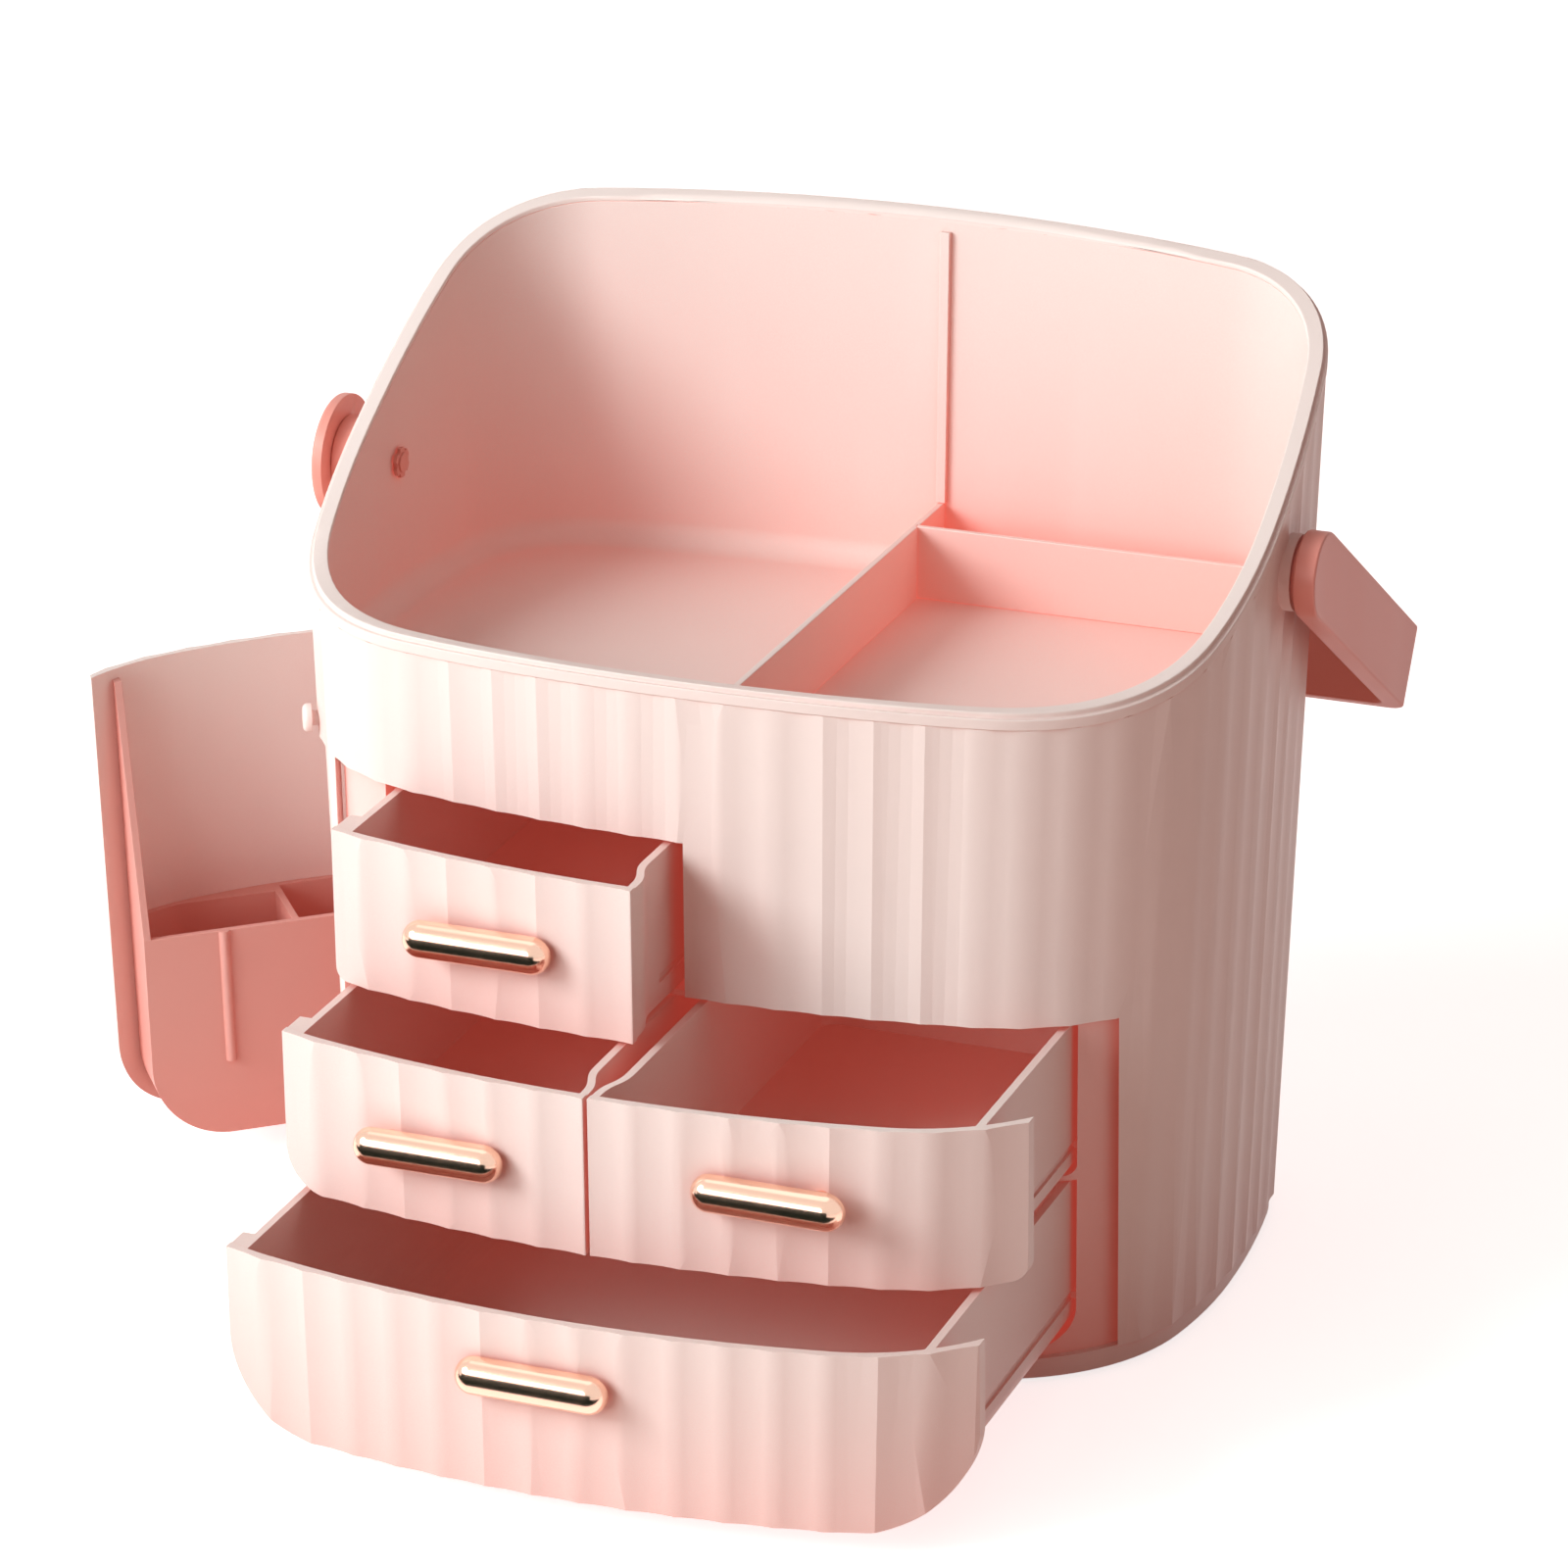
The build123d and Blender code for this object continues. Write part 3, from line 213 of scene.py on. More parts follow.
def moulding_group():
    """Moulded plastic: colour drift, flow streaks, fine grain, painted coral shade in the hollows and
    a painted glow there.
    """
    name = "moulded_plastic"
    if name in bpy.data.node_groups:
        return bpy.data.node_groups[name]
    group, inputs, outputs = new_group(
        name,
        [
            ("Color", COLOR, (1, 1, 1, 1)),
            ("Painted Shade Color", COLOR, (1, 0.5, 0.5, 1)),
            ("Painted Shade Share", FLOAT, 0.5),
            ("Painted Shade Reach", FLOAT, 0.05),
            ("Drift", FLOAT, 0.05),
            ("Gloss", FLOAT, 0.4),
            ("Grain Size", FLOAT, 900.0),
        ],
        [("Color", COLOR), ("Roughness", FLOAT), ("Height", FLOAT), ("Painted Glow", COLOR)],
    )
    link = group.links.new
    where = place(group, "ShaderNodeTexCoord")
    drift = place(group, "ShaderNodeTexNoise", Scale=DRIFT_SCALE, Detail=3.0, Roughness=0.5)
    link(where.outputs["Object"], drift.inputs["Vector"])
    stretch = place(group, "ShaderNodeMapping")
    stretch.inputs["Scale"].default_value = STREAK_STRETCH
    link(where.outputs["Object"], stretch.inputs["Vector"])
    streaks = place(group, "ShaderNodeTexNoise", Scale=1.0, Detail=2.0)
    link(stretch.outputs["Vector"], streaks.inputs["Vector"])
    grain = place(group, "ShaderNodeTexNoise", Detail=2.0, Roughness=0.6)
    link(where.outputs["Object"], grain.inputs["Vector"])
    link(inputs.outputs["Grain Size"], grain.inputs["Scale"])

    # colour drift, up and down by the Drift share
    spread = place(group, "ShaderNodeMath", operation="SUBTRACT")
    link(drift.outputs["Fac"], spread.inputs[0])
    spread.inputs[1].default_value = 0.5
    amount = place(group, "ShaderNodeMath", operation="MULTIPLY")
    link(spread.outputs[0], amount.inputs[0])
    link(inputs.outputs["Drift"], amount.inputs[1])
    value = place(group, "ShaderNodeMath", operation="ADD")
    link(amount.outputs[0], value.inputs[0])
    value.inputs[1].default_value = 1.0
    tone = place(group, "ShaderNodeHueSaturation")
    link(inputs.outputs["Color"], tone.inputs["Color"])
    link(value.outputs[0], tone.inputs["Value"])

    # painted shade: the less sky a point sees, the more coral is painted into its colour
    open_sky = place(group, "ShaderNodeAmbientOcclusion", samples=PAINTED_SHADE_SAMPLES)
    link(inputs.outputs["Painted Shade Reach"], open_sky.inputs["Distance"])
    painted_shade_mask = place(group, "ShaderNodeMath", operation="SUBTRACT")
    painted_shade_mask.inputs[0].default_value = 1.0
    link(open_sky.outputs["AO"], painted_shade_mask.inputs[1])
    share = place(group, "ShaderNodeMath", operation="MULTIPLY", use_clamp=True)
    link(painted_shade_mask.outputs[0], share.inputs[0])
    link(inputs.outputs["Painted Shade Share"], share.inputs[1])
    mix = place(group, "ShaderNodeMix", data_type="RGBA")
    link(share.outputs[0], mix.inputs["Factor"])
    link(tone.outputs["Color"], mix.inputs["A"])
    link(inputs.outputs["Painted Shade Color"], mix.inputs["B"])
    link(mix.outputs["Result"], outputs.inputs["Color"])

    # painted glow: the coral shines where little sky is seen, standing in for light that soaks through
    # the thin plastic
    deep = place(group, "ShaderNodeMath", operation="POWER", use_clamp=True)
    link(painted_shade_mask.outputs[0], deep.inputs[0])
    deep.inputs[1].default_value = PAINTED_GLOW_FALL
    glow = place(group, "ShaderNodeMix", data_type="RGBA")
    glow.inputs["A"].default_value = BLACK
    link(deep.outputs[0], glow.inputs["Factor"])
    link(inputs.outputs["Painted Shade Color"], glow.inputs["B"])
    link(glow.outputs["Result"], outputs.inputs["Painted Glow"])

    # gloss wanders with the flow streaks
    rough = place(group, "ShaderNodeMapRange")
    rough.inputs["To Min"].default_value, rough.inputs["To Max"].default_value = PLASTIC_GLOSS_SWING
    link(streaks.outputs["Fac"], rough.inputs["Value"])
    total = place(group, "ShaderNodeMath", operation="ADD")
    link(rough.outputs["Result"], total.inputs[0])
    link(inputs.outputs["Gloss"], total.inputs[1])
    link(total.outputs[0], outputs.inputs["Roughness"])

    height = place(group, "ShaderNodeMath", operation="MULTIPLY_ADD")
    link(streaks.outputs["Fac"], height.inputs[0])
    height.inputs[1].default_value = STREAK_HEIGHT
    link(grain.outputs["Fac"], height.inputs[2])
    link(height.outputs[0], outputs.inputs["Height"])
    return group


def new_material(name):
    """Empty node material with its tree."""
    material = bpy.data.materials.new(name)
    material.use_nodes = True
    return material, material.node_tree


def plastic(name, color, painted_shade_share=0.6, painted_shade_reach=0.06, gloss=0.42, grain=FINE_GRAIN, glow=0.0):
    """Satin moulded plastic in one colour, with painted coral shade in its hollows and, where glow is
    given, a painted glow there.
    """
    if name in bpy.data.materials:
        return bpy.data.materials[name]
    material, tree = new_material(name)
    shader = tree.nodes["Principled BSDF"]
    # painted glow: the plastic shines in its hollows though it is no lamp
    shader.inputs["Emission Strength"].default_value = glow
    shader.inputs["Specular IOR Level"].default_value = PLASTIC_SHINE
    shader.inputs["IOR"].default_value = PLASTIC_IOR
    moulding = place(tree, "ShaderNodeGroup", node_tree=moulding_group())
    moulding.inputs["Color"].default_value = (*color, 1.0)
    # painted shade: coral mixed into the colour where the plastic sees little sky
    moulding.inputs["Painted Shade Color"].default_value = (*settings().painted_shade_color, 1.0)
    moulding.inputs["Painted Shade Share"].default_value = painted_shade_share
    moulding.inputs["Painted Shade Reach"].default_value = painted_shade_reach
    moulding.inputs["Gloss"].default_value = gloss
    bump = place(tree, "ShaderNodeBump", Strength=PLASTIC_BUMP, Distance=grain)
    link = tree.links.new
    link(moulding.outputs["Color"], shader.inputs["Base Color"])
    link(moulding.outputs["Roughness"], shader.inputs["Roughness"])
    link(moulding.outputs["Height"], bump.inputs["Height"])
    link(bump.outputs["Normal"], shader.inputs["Normal"])
    # painted glow in the coral of the hollows
    if glow:
        link(moulding.outputs["Painted Glow"], shader.inputs["Emission Color"])
    return material


def metal_group():
    """Polished or brushed metal: fine lines along X and a cloudy gloss."""
    name = "drawn_metal"
    if name in bpy.data.node_groups:
        return bpy.data.node_groups[name]
    group, inputs, outputs = new_group(
        name,
        [("Color", COLOR, (1, 1, 1, 1)), ("Gloss", FLOAT, 0.2), ("Line Scale", FLOAT, 2500.0)],
        [("Color", COLOR), ("Roughness", FLOAT), ("Height", FLOAT)],
    )
    link = group.links.new
    where = place(group, "ShaderNodeTexCoord")
    stretch = place(group, "ShaderNodeMapping")
    stretch.inputs["Scale"].default_value = LINE_STRETCH
    link(where.outputs["Object"], stretch.inputs["Vector"])
    lines = place(group, "ShaderNodeTexNoise", Detail=2.0)
    link(stretch.outputs["Vector"], lines.inputs["Vector"])
    link(inputs.outputs["Line Scale"], lines.inputs["Scale"])
    clouds = place(group, "ShaderNodeTexNoise", Scale=CLOUD_SCALE, Detail=2.0)
    link(where.outputs["Object"], clouds.inputs["Vector"])
    rough = place(group, "ShaderNodeMapRange")
    rough.inputs["To Min"].default_value, rough.inputs["To Max"].default_value = METAL_GLOSS_SWING
    link(clouds.outputs["Fac"], rough.inputs["Value"])
    total = place(group, "ShaderNodeMath", operation="ADD")
    link(rough.outputs["Result"], total.inputs[0])
    link(inputs.outputs["Gloss"], total.inputs[1])
    link(total.outputs[0], outputs.inputs["Roughness"])
    shade = place(group, "ShaderNodeMapRange")
    shade.inputs["To Min"].default_value, shade.inputs["To Max"].default_value = METAL_SHADE_SWING
    link(lines.outputs["Fac"], shade.inputs["Value"])
    tone = place(group, "ShaderNodeHueSaturation")
    link(inputs.outputs["Color"], tone.inputs["Color"])
    link(shade.outputs["Result"], tone.inputs["Value"])
    link(tone.outputs["Color"], outputs.inputs["Color"])
    link(lines.outputs["Fac"], outputs.inputs["Height"])
    return group


def metal(name, color, gloss):
    """Metal with a faint drawn grain."""
    if name in bpy.data.materials:
        return bpy.data.materials[name]
    material, tree = new_material(name)
    shader = tree.nodes["Principled BSDF"]
    shader.inputs["Metallic"].default_value = 1.0
    drawn = place(tree, "ShaderNodeGroup", node_tree=metal_group())
    drawn.inputs["Color"].default_value = (*color, 1.0)
    drawn.inputs["Gloss"].default_value = gloss
    bump = place(tree, "ShaderNodeBump", Strength=METAL_BUMP, Distance=METAL_GRAIN)
    link = tree.links.new
    link(drawn.outputs["Color"], shader.inputs["Base Color"])
    link(drawn.outputs["Roughness"], shader.inputs["Roughness"])
    link(drawn.outputs["Height"], bump.inputs["Height"])
    link(bump.outputs["Normal"], shader.inputs["Normal"])
    return material


def skin_finish():
    """Pale skin of the case, with painted coral shade in its hollows."""
    return plastic("skin_pink", settings().skin_color, painted_shade_share=0.5, painted_shade_reach=0.05)


def tray_finish():
    """Drawers: the skin's pink outside, with painted coral shade and a painted glow deep within."""
    color = settings().skin_color
    return plastic("tray_pink", color, painted_shade_share=0.7, painted_shade_reach=0.07, glow=0.12)


def inner_finish():
    """Cabinet and bays: a deeper pink copy of the skin as painted shade, with painted coral shade and
    a painted glow in the hollows.
    """
    color = settings().inner_color_with_painted_shade
    return plastic("inner_pink", color, painted_shade_share=0.8, painted_shade_reach=0.10, gloss=0.48, glow=0.16)


def bin_finish():
    """Brush bin: a darker pink copy of the skin as painted shade, with painted coral shade and a
    painted glow in its hollows.
    """
    color = settings().bin_color_with_painted_shade
    return plastic("bin_pink", color, painted_shade_share=0.5, painted_shade_reach=0.06, gloss=0.45, glow=0.08)


def bowl_finish():
    """Bowl of the top tray and its dividers, with painted coral shade and a strong painted glow in its
    hollows.
    """
    color = settings().skin_color
    return plastic("bowl_pink", color, painted_shade_share=0.72, painted_shade_reach=0.14, gloss=0.5, glow=0.42)


def handle_finish():
    """Handle, caps, washers and retainers, with painted coral shade in their hollows."""
    return plastic("handle_pink", settings().handle_color, painted_shade_share=0.4)


def pull_finish():
    """Polished rose gold of the pulls."""
    return metal("rose_gold", settings().pull_color, 0.16)


def steel_finish():
    """Zinc plated steel of the screws and hinge pins."""
    return metal("zinc_steel", STEEL_COLOR, 0.32)


def pad_finish():
    """Matt rubber of the feet, with faint painted coral shade in its hollows."""
    return plastic("pad_rubber", PAD_COLOR, painted_shade_share=0.2, gloss=0.8, grain=COARSE_GRAIN)


# ------------------------------------------------------------------ piece helpers
def merged_copy(node):
    """A CAD node's mesh with its loose triangles joined and its flat faces whole."""
    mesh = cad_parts[node].data.copy()
    work = bmesh.new()
    work.from_mesh(mesh)
    bmesh.ops.remove_doubles(work, verts=work.verts, dist=MERGE_GAP)
    bmesh.ops.dissolve_limit(
        work, angle_limit=FLAT_WITHIN, verts=work.verts, edges=work.edges, delimit={"NORMAL"}
    )
    work.to_mesh(mesh)
    work.free()
    return mesh


def stand_for(piece, node, body, finish):
    """Puts a piece on its body in place of a CAD node; the finish given is not used."""
    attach(piece, body)
    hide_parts(node)


def weigh_outer_edges(mesh):
    """Marks only outward edges for rounding: no fillet fills a corner where another piece sits."""
    work = bmesh.new()
    work.from_mesh(mesh)
    layer = work.edges.layers.float.new(ROUNDING_WEIGHT)
    for edge in work.edges:
        if len(edge.link_faces) == 2 and edge.is_convex and edge.calc_face_angle() > ROUND_ABOVE:
            edge[layer] = 1.0
    work.to_mesh(mesh)
    work.free()


def dressed(node, body, finish, rounding=1.0, smooth_below=SMOOTH_BELOW, outer_only=False):
    """Piece that stands for a CAD node: same form, smooth curves and softened edges."""
    mesh = merged_copy(node)
    mesh.name = node + "_dressed"
    piece = bpy.data.objects.new(node + "_dressed", mesh)
    bpy.context.scene.collection.objects.link(piece)
    mesh.materials.clear()
    mesh.materials.append(finish)
    mesh.shade_smooth()
    mesh.set_sharp_from_angle(angle=smooth_below)
    if rounding:
        soft = piece.modifiers.new("edge_round", "BEVEL")
        soft.width = settings().edge_round * rounding
        soft.segments = settings().edge_steps
        soft.limit_method = "ANGLE"
        soft.angle_limit = ROUND_ABOVE
        if outer_only:
            weigh_outer_edges(mesh)
            soft.limit_method = "WEIGHT"
        soft.harden_normals = True
    stand_for(piece, node, body, finish)
    return piece


def rounded_rim(node, body, finish):
    """The rim piece with a broad round on its inner top edge and a smaller one outside."""
    piece = dressed(node, body, finish, 0.0)
    mesh = piece.data
    work = bmesh.new()
    work.from_mesh(mesh)
    layer = work.edges.layers.float.new(ROUNDING_WEIGHT)
    top = max(work.faces, key=lambda face: face.calc_area() * face.normal.z).normal.copy()
    level = max(vert.co.dot(top) for vert in work.verts)
    for edge in work.edges:
        if len(edge.link_faces) != 2 or edge.calc_face_angle() < ROUND_ABOVE:
            continue
        middle = (edge.verts[0].co + edge.verts[1].co) / 2
        if level - middle.dot(top) > RIM_TOP_WITHIN:
            edge[layer] = RIM_OTHER_SHARE
            continue
        side = min(edge.link_faces, key=lambda face: face.normal.dot(top)).normal
        inward = side.x * middle.x + side.y * middle.y < 0
        edge[layer] = 1.0 if inward else RIM_OUTER_SHARE
    work.to_mesh(mesh)
    work.free()
    soft = piece.modifiers.new("edge_round", "BEVEL")
    soft.width = RIM_INNER_ROUND
    soft.segments = RIM_STEPS
    soft.limit_method = "WEIGHT"
    soft.use_clamp_overlap = False
    soft.harden_normals = True
    return piece


def finish_node(node, finish):
    """Gives a CAD node that stays in view its finish."""
    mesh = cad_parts[node].data
    mesh.materials.clear()
    mesh.materials.append(finish)


def island_boxes(node):
    """Lowest and highest corners of each separate solid in a CAD node."""
    mesh = merged_copy(node)
    work = bmesh.new()
    work.from_mesh(mesh)
    left = set(work.verts)
    boxes = []
    while left:
        reached = [left.pop()]
        solid = []
        while reached:
            vert = reached.pop()
            solid.append(vert.co.copy())
            for edge in vert.link_edges:
                other = edge.other_vert(vert)
                if other in left:
                    left.remove(other)
                    reached.append(other)
        low = Vector([min(point[i] for point in solid) for i in range(3)])
        high = Vector([max(point[i] for point in solid) for i in range(3)])
        boxes.append((low, high))
    work.free()
    bpy.data.meshes.remove(mesh)
    return sorted(boxes, key=lambda box: tuple(box[0]))


# ------------------------------------------------------------------ geometry nodes for what repeats
def socket(tree, name, kind, default=None):
    """Named input of a geometry tree."""
    made = tree.interface.new_socket(name, in_out="INPUT", socket_type=kind)
    if default is not None:
        made.default_value = default


def new_tree(name):
    """Geometry tree with a geometry input and output."""
    tree = bpy.data.node_groups.new(name, "GeometryNodeTree")
    for side in ("INPUT", "OUTPUT"):
        tree.interface.new_socket("Geometry", in_out=side, socket_type="NodeSocketGeometry")
    return tree


def set_out(tree, given, shape, turn=None):
    """Ends a tree: the shape at every point of the input, made real and given its finish."""
    link = tree.links.new
    spread = place(tree, "GeometryNodeInstanceOnPoints")
    link(given.outputs["Geometry"], spread.inputs["Points"])
    link(shape, spread.inputs["Instance"])
    if turn is not None:
        link(turn, spread.inputs["Rotation"])
    real = place(tree, "GeometryNodeRealizeInstances")
    link(spread.outputs[0], real.inputs[0])
    coated = place(tree, "GeometryNodeSetMaterial")
    link(real.outputs[0], coated.inputs["Geometry"])
    link(given.outputs["Finish"], coated.inputs["Material"])
    result = tree.nodes.new("NodeGroupOutput")
    link(coated.outputs[0], result.inputs["Geometry"])


def math_chain(tree, value, *steps):
    """Runs a value through maths nodes: (operation, second value, third value)."""
    for operation, *others in steps:
        node = place(tree, "ShaderNodeMath", operation=operation)
        inputs = [value, *others]
        if operation == "MULTIPLY_ADD":
            inputs = [others[0], others[1], value]
        for index, item in enumerate(inputs):
            if isinstance(item, (int, float)):
                node.inputs[index].default_value = item
            else:
                tree.links.new(item, node.inputs[index])
        value = node.outputs[0]
    return value


def screw_tree():
    """Pan-head screw with a cross recess at every point of the input, pointing the way given."""
    name = "screw_set"
    if name in bpy.data.node_groups:
        return bpy.data.node_groups[name]
    tree = new_tree(name)
    socket(tree, "Head Radius", FLOAT, HEAD_RADIUS)
    socket(tree, "Head Height", FLOAT, HEAD_HEIGHT)
    socket(tree, "Shank Radius", FLOAT, 1.45 * MM)
    socket(tree, "Shank Length", FLOAT, 8.0 * MM)
    socket(tree, "Thread Pitch", FLOAT, THREAD_PITCH)
    socket(tree, "Turn", "NodeSocketRotation")
    socket(tree, "Finish", "NodeSocketMaterial")
    link = tree.links.new
    given = tree.nodes.new("NodeGroupInput")

    def math_node(operation, first, second):
        return math_chain(tree, first, (operation, second))

    def moved(geometry, z):
        shift = place(tree, "ShaderNodeCombineXYZ")
        link(z, shift.inputs["Z"])
        node = place(tree, "GeometryNodeTransform")
        link(geometry, node.inputs["Geometry"])
        link(shift.outputs[0], node.inputs["Translation"])
        return node.outputs["Geometry"]

    # head: a tapered disc with two crossed slots, no two of whose faces lie in one plane
    head = place(tree, "GeometryNodeMeshCone", Vertices=40)
    link(given.outputs["Head Radius"], head.inputs["Radius Bottom"])
    link(math_node("MULTIPLY", given.outputs["Head Radius"], HEAD_TAPER), head.inputs["Radius Top"])
    link(given.outputs["Head Height"], head.inputs["Depth"])
    slot_size = place(tree, "ShaderNodeCombineXYZ")
    for axis, share in (("X", SLOT_LENGTH_SHARE), ("Y", SLOT_WIDTH_SHARE)):
        link(math_node("MULTIPLY", given.outputs["Head Radius"], share), slot_size.inputs[axis])
    link(given.outputs["Head Height"], slot_size.inputs["Z"])
    slot = place(tree, "GeometryNodeMeshCube")
    link(slot_size.outputs[0], slot.inputs["Size"])
    raised = moved(slot.outputs["Mesh"], given.outputs["Head Height"])
    crossed = place(tree, "GeometryNodeTransform")
    link(raised, crossed.inputs["Geometry"])
    crossed.inputs["Rotation"].default_value = (0.0, 0.0, math.pi / 2)
    crossed.inputs["Scale"].default_value = SECOND_SLOT_SCALE
    cut = place(tree, "GeometryNodeMeshBoolean", operation="DIFFERENCE")
    link(head.outputs["Mesh"], cut.inputs["Mesh 1"])
    link(raised, cut.inputs["Mesh 2"])
    link(crossed.outputs["Geometry"], cut.inputs["Mesh 2"])

    # shank: a rod whose radius waves with the thread
    rod = place(tree, "GeometryNodeMeshCylinder", Vertices=20)
    rod.inputs["Side Segments"].default_value = 48
    link(given.outputs["Shank Radius"], rod.inputs["Radius"])
    link(given.outputs["Shank Length"], rod.inputs["Depth"])
    spot = place(tree, "GeometryNodeInputPosition")
    parts = place(tree, "ShaderNodeSeparateXYZ")
    link(spot.outputs[0], parts.inputs[0])
    turns = math_node("DIVIDE", parts.outputs["Z"], given.outputs["Thread Pitch"])
    wave = math_node("SINE", math_node("MULTIPLY", turns, 2 * math.pi), 0.0)
    swell = math_node("ADD", math_node("MULTIPLY", wave, THREAD_SWING), THREAD_MIDDLE)
    flat = place(tree, "ShaderNodeCombineXYZ")
    for axis in "XY":
        link(math_node("MULTIPLY", parts.outputs[axis], swell), flat.inputs[axis])
    link(parts.outputs["Z"], flat.inputs["Z"])
    threaded = place(tree, "GeometryNodeSetPosition")
    link(rod.outputs["Mesh"], threaded.inputs["Geometry"])
    link(flat.outputs[0], threaded.inputs["Position"])
    half = math_node("MULTIPLY", given.outputs["Shank Length"], -0.5)
    hung = moved(threaded.outputs["Geometry"], half)

    screw = place(tree, "GeometryNodeJoinGeometry")
    link(hung, screw.inputs[0])
    link(cut.outputs["Mesh"], screw.inputs[0])
    set_out(tree, given, screw.outputs[0], given.outputs["Turn"])
    return tree


def pad_tree():
    """Round foot pad with a crowned edge at every point of the input."""
    name = "pad_set"
    if name in bpy.data.node_groups:
        return bpy.data.node_groups[name]
    tree = new_tree(name)
    socket(tree, "Radius", FLOAT, 8.0 * MM)
    socket(tree, "Height", FLOAT, 1.9 * MM)
    socket(tree, "Edge", FLOAT, 0.5 * MM)
    socket(tree, "Finish", "NodeSocketMaterial")
    link = tree.links.new
    given = tree.nodes.new("NodeGroupInput")
    disc = place(tree, "GeometryNodeMeshCylinder", Vertices=48)
    disc.inputs["Side Segments"].default_value = 12
    link(given.outputs["Radius"], disc.inputs["Radius"])
    link(given.outputs["Height"], disc.inputs["Depth"])
    spot = place(tree, "GeometryNodeInputPosition")
    parts = place(tree, "ShaderNodeSeparateXYZ")
    link(spot.outputs[0], parts.inputs[0])
    # height over the pad's foot, and how far that is inside the crowned edge
    over = math_chain(tree, parts.outputs["Z"], ("MULTIPLY_ADD", given.outputs["Height"], 0.5))
    within = math_chain(tree, over, ("DIVIDE", given.outputs["Edge"]), ("MINIMUM", 1.0))
    missing = math_chain(tree, within, ("MULTIPLY", -1.0), ("ADD", 1.0), ("POWER", 2.0))
    edge, radius = given.outputs["Edge"], given.outputs["Radius"]
    share = math_chain(tree, missing, ("MULTIPLY", edge), ("DIVIDE", radius))
    keep = math_chain(tree, share, ("MULTIPLY", -1.0), ("ADD", 1.0))
    shaped = place(tree, "ShaderNodeCombineXYZ")
    for axis in "XY":
        link(math_chain(tree, parts.outputs[axis], ("MULTIPLY", keep)), shaped.inputs[axis])
    link(over, shaped.inputs["Z"])
    both = place(tree, "GeometryNodeSetPosition")
    link(disc.outputs["Mesh"], both.inputs["Geometry"])
    link(shaped.outputs[0], both.inputs["Position"])
    set_out(tree, given, both.outputs["Geometry"])
    return tree


def from_tree(name, points, tree, values):
    """Plain mesh piece made by a geometry tree on a set of points."""
    seed = bpy.data.meshes.new(name + "_points")
    seed.from_pydata([tuple(point) for point in points], [], [])
    holder = bpy.data.objects.new(name + "_points", seed)
    bpy.context.scene.collection.objects.link(holder)
    modifier = holder.modifiers.new("build", "NODES")
    modifier.node_group = tree
    for item in tree.interface.items_tree:
        if item.in_out == "INPUT" and item.name in values:
            modifier[item.identifier] = values[item.name]
    bpy.context.view_layer.update()
    evaluated = holder.evaluated_get(bpy.context.evaluated_depsgraph_get())
    mesh = bpy.data.meshes.new_from_object(evaluated)
    mesh.name = name
    holder.modifiers.remove(modifier)
    bpy.data.objects.remove(holder)
    bpy.data.meshes.remove(seed)
    piece = bpy.data.objects.new(name, mesh)
    bpy.context.scene.collection.objects.link(piece)
    mesh.shade_smooth()
    mesh.set_sharp_from_angle(angle=SMOOTH_BELOW)
    return piece


def screws(name, node, body, head_at, turn):
    """Screws in place of a CAD node; head_at gives the head's middle from the box of a solid."""
    for number, (low, high) in enumerate(island_boxes(node), start=1):
        length = max(high - low) - HEAD_HEIGHT
        piece = from_tree(
            f"{name}_{number}",
            [head_at(low, high)],
            screw_tree(),
            {"Shank Length": length, "Turn": turn, "Finish": steel_finish()},
        )
        stand_for(piece, node, body, steel_finish())


# ------------------------------------------------------------------ operators
class MAKEUPCASE_OT_shell(bpy.types.Operator):
    """Fluted skin, rim, plinth and the pieces fixed to them."""

    bl_idname = "makeup_case.shell"
    bl_label = "Shell and rim"

    def execute(self, context):
        dressed("outer_shell", "case", skin_finish(), 0.8, RIDGE_SMOOTH_BELOW)
        rounded_rim("rim_ring", "case", skin_finish())
        dressed("base_plate", "case", skin_finish())
        return {"FINISHED"}


class MAKEUPCASE_OT_bowl(bpy.types.Operator):
    """Inner bowl of the top tray with its dividers."""

    bl_idname = "makeup_case.bowl"
    bl_label = "Bowl and dividers"

    def execute(self, context):
        dressed("top_bowl", "case", bowl_finish(), 0.6)
        dressed("divider_long", "case", bowl_finish())
        dressed("divider_cross", "case", bowl_finish())
        return {"FINISHED"}


class MAKEUPCASE_OT_cabinet(bpy.types.Operator):
    """Cabinet of the drawers with its rails and back."""

    bl_idname = "makeup_case.cabinet"
    bl_label = "Drawer cabinet"

    def execute(self, context):
        dressed("drawer_cabinet", "case", inner_finish(), 0.6)
        dressed("cabinet_back", "case", inner_finish(), 0.6)
        return {"FINISHED"}


class MAKEUPCASE_OT_drawers(bpy.types.Operator):
    """The drawers, each on its own slide."""

    bl_idname = "makeup_case.drawers"
    bl_label = "Drawers"

    def execute(self, context):
        for name in DRAWERS:
            dressed("drawer_" + name, "drawer_" + name, tray_finish(), 1.0, RIDGE_SMOOTH_BELOW)
        return {"FINISHED"}


class MAKEUPCASE_OT_pulls(bpy.types.Operator):
    """Bar pulls and their screws."""

    bl_idname = "makeup_case.pulls"
    bl_label = "Pulls"

    def execute(self, context):
        for name in DRAWERS:
            dressed("pull_" + name, "drawer_" + name, pull_finish(), 0.5)
            screws(
                "pull_screw_" + name,
                "pull_screws_" + name,
                "drawer_" + name,
                lambda low, high: ((low.x + high.x) / 2, high.y - HEAD_HEIGHT, (low.z + high.z) / 2),
                (-math.pi / 2, 0.0, 0.0),
            )
        return {"FINISHED"}


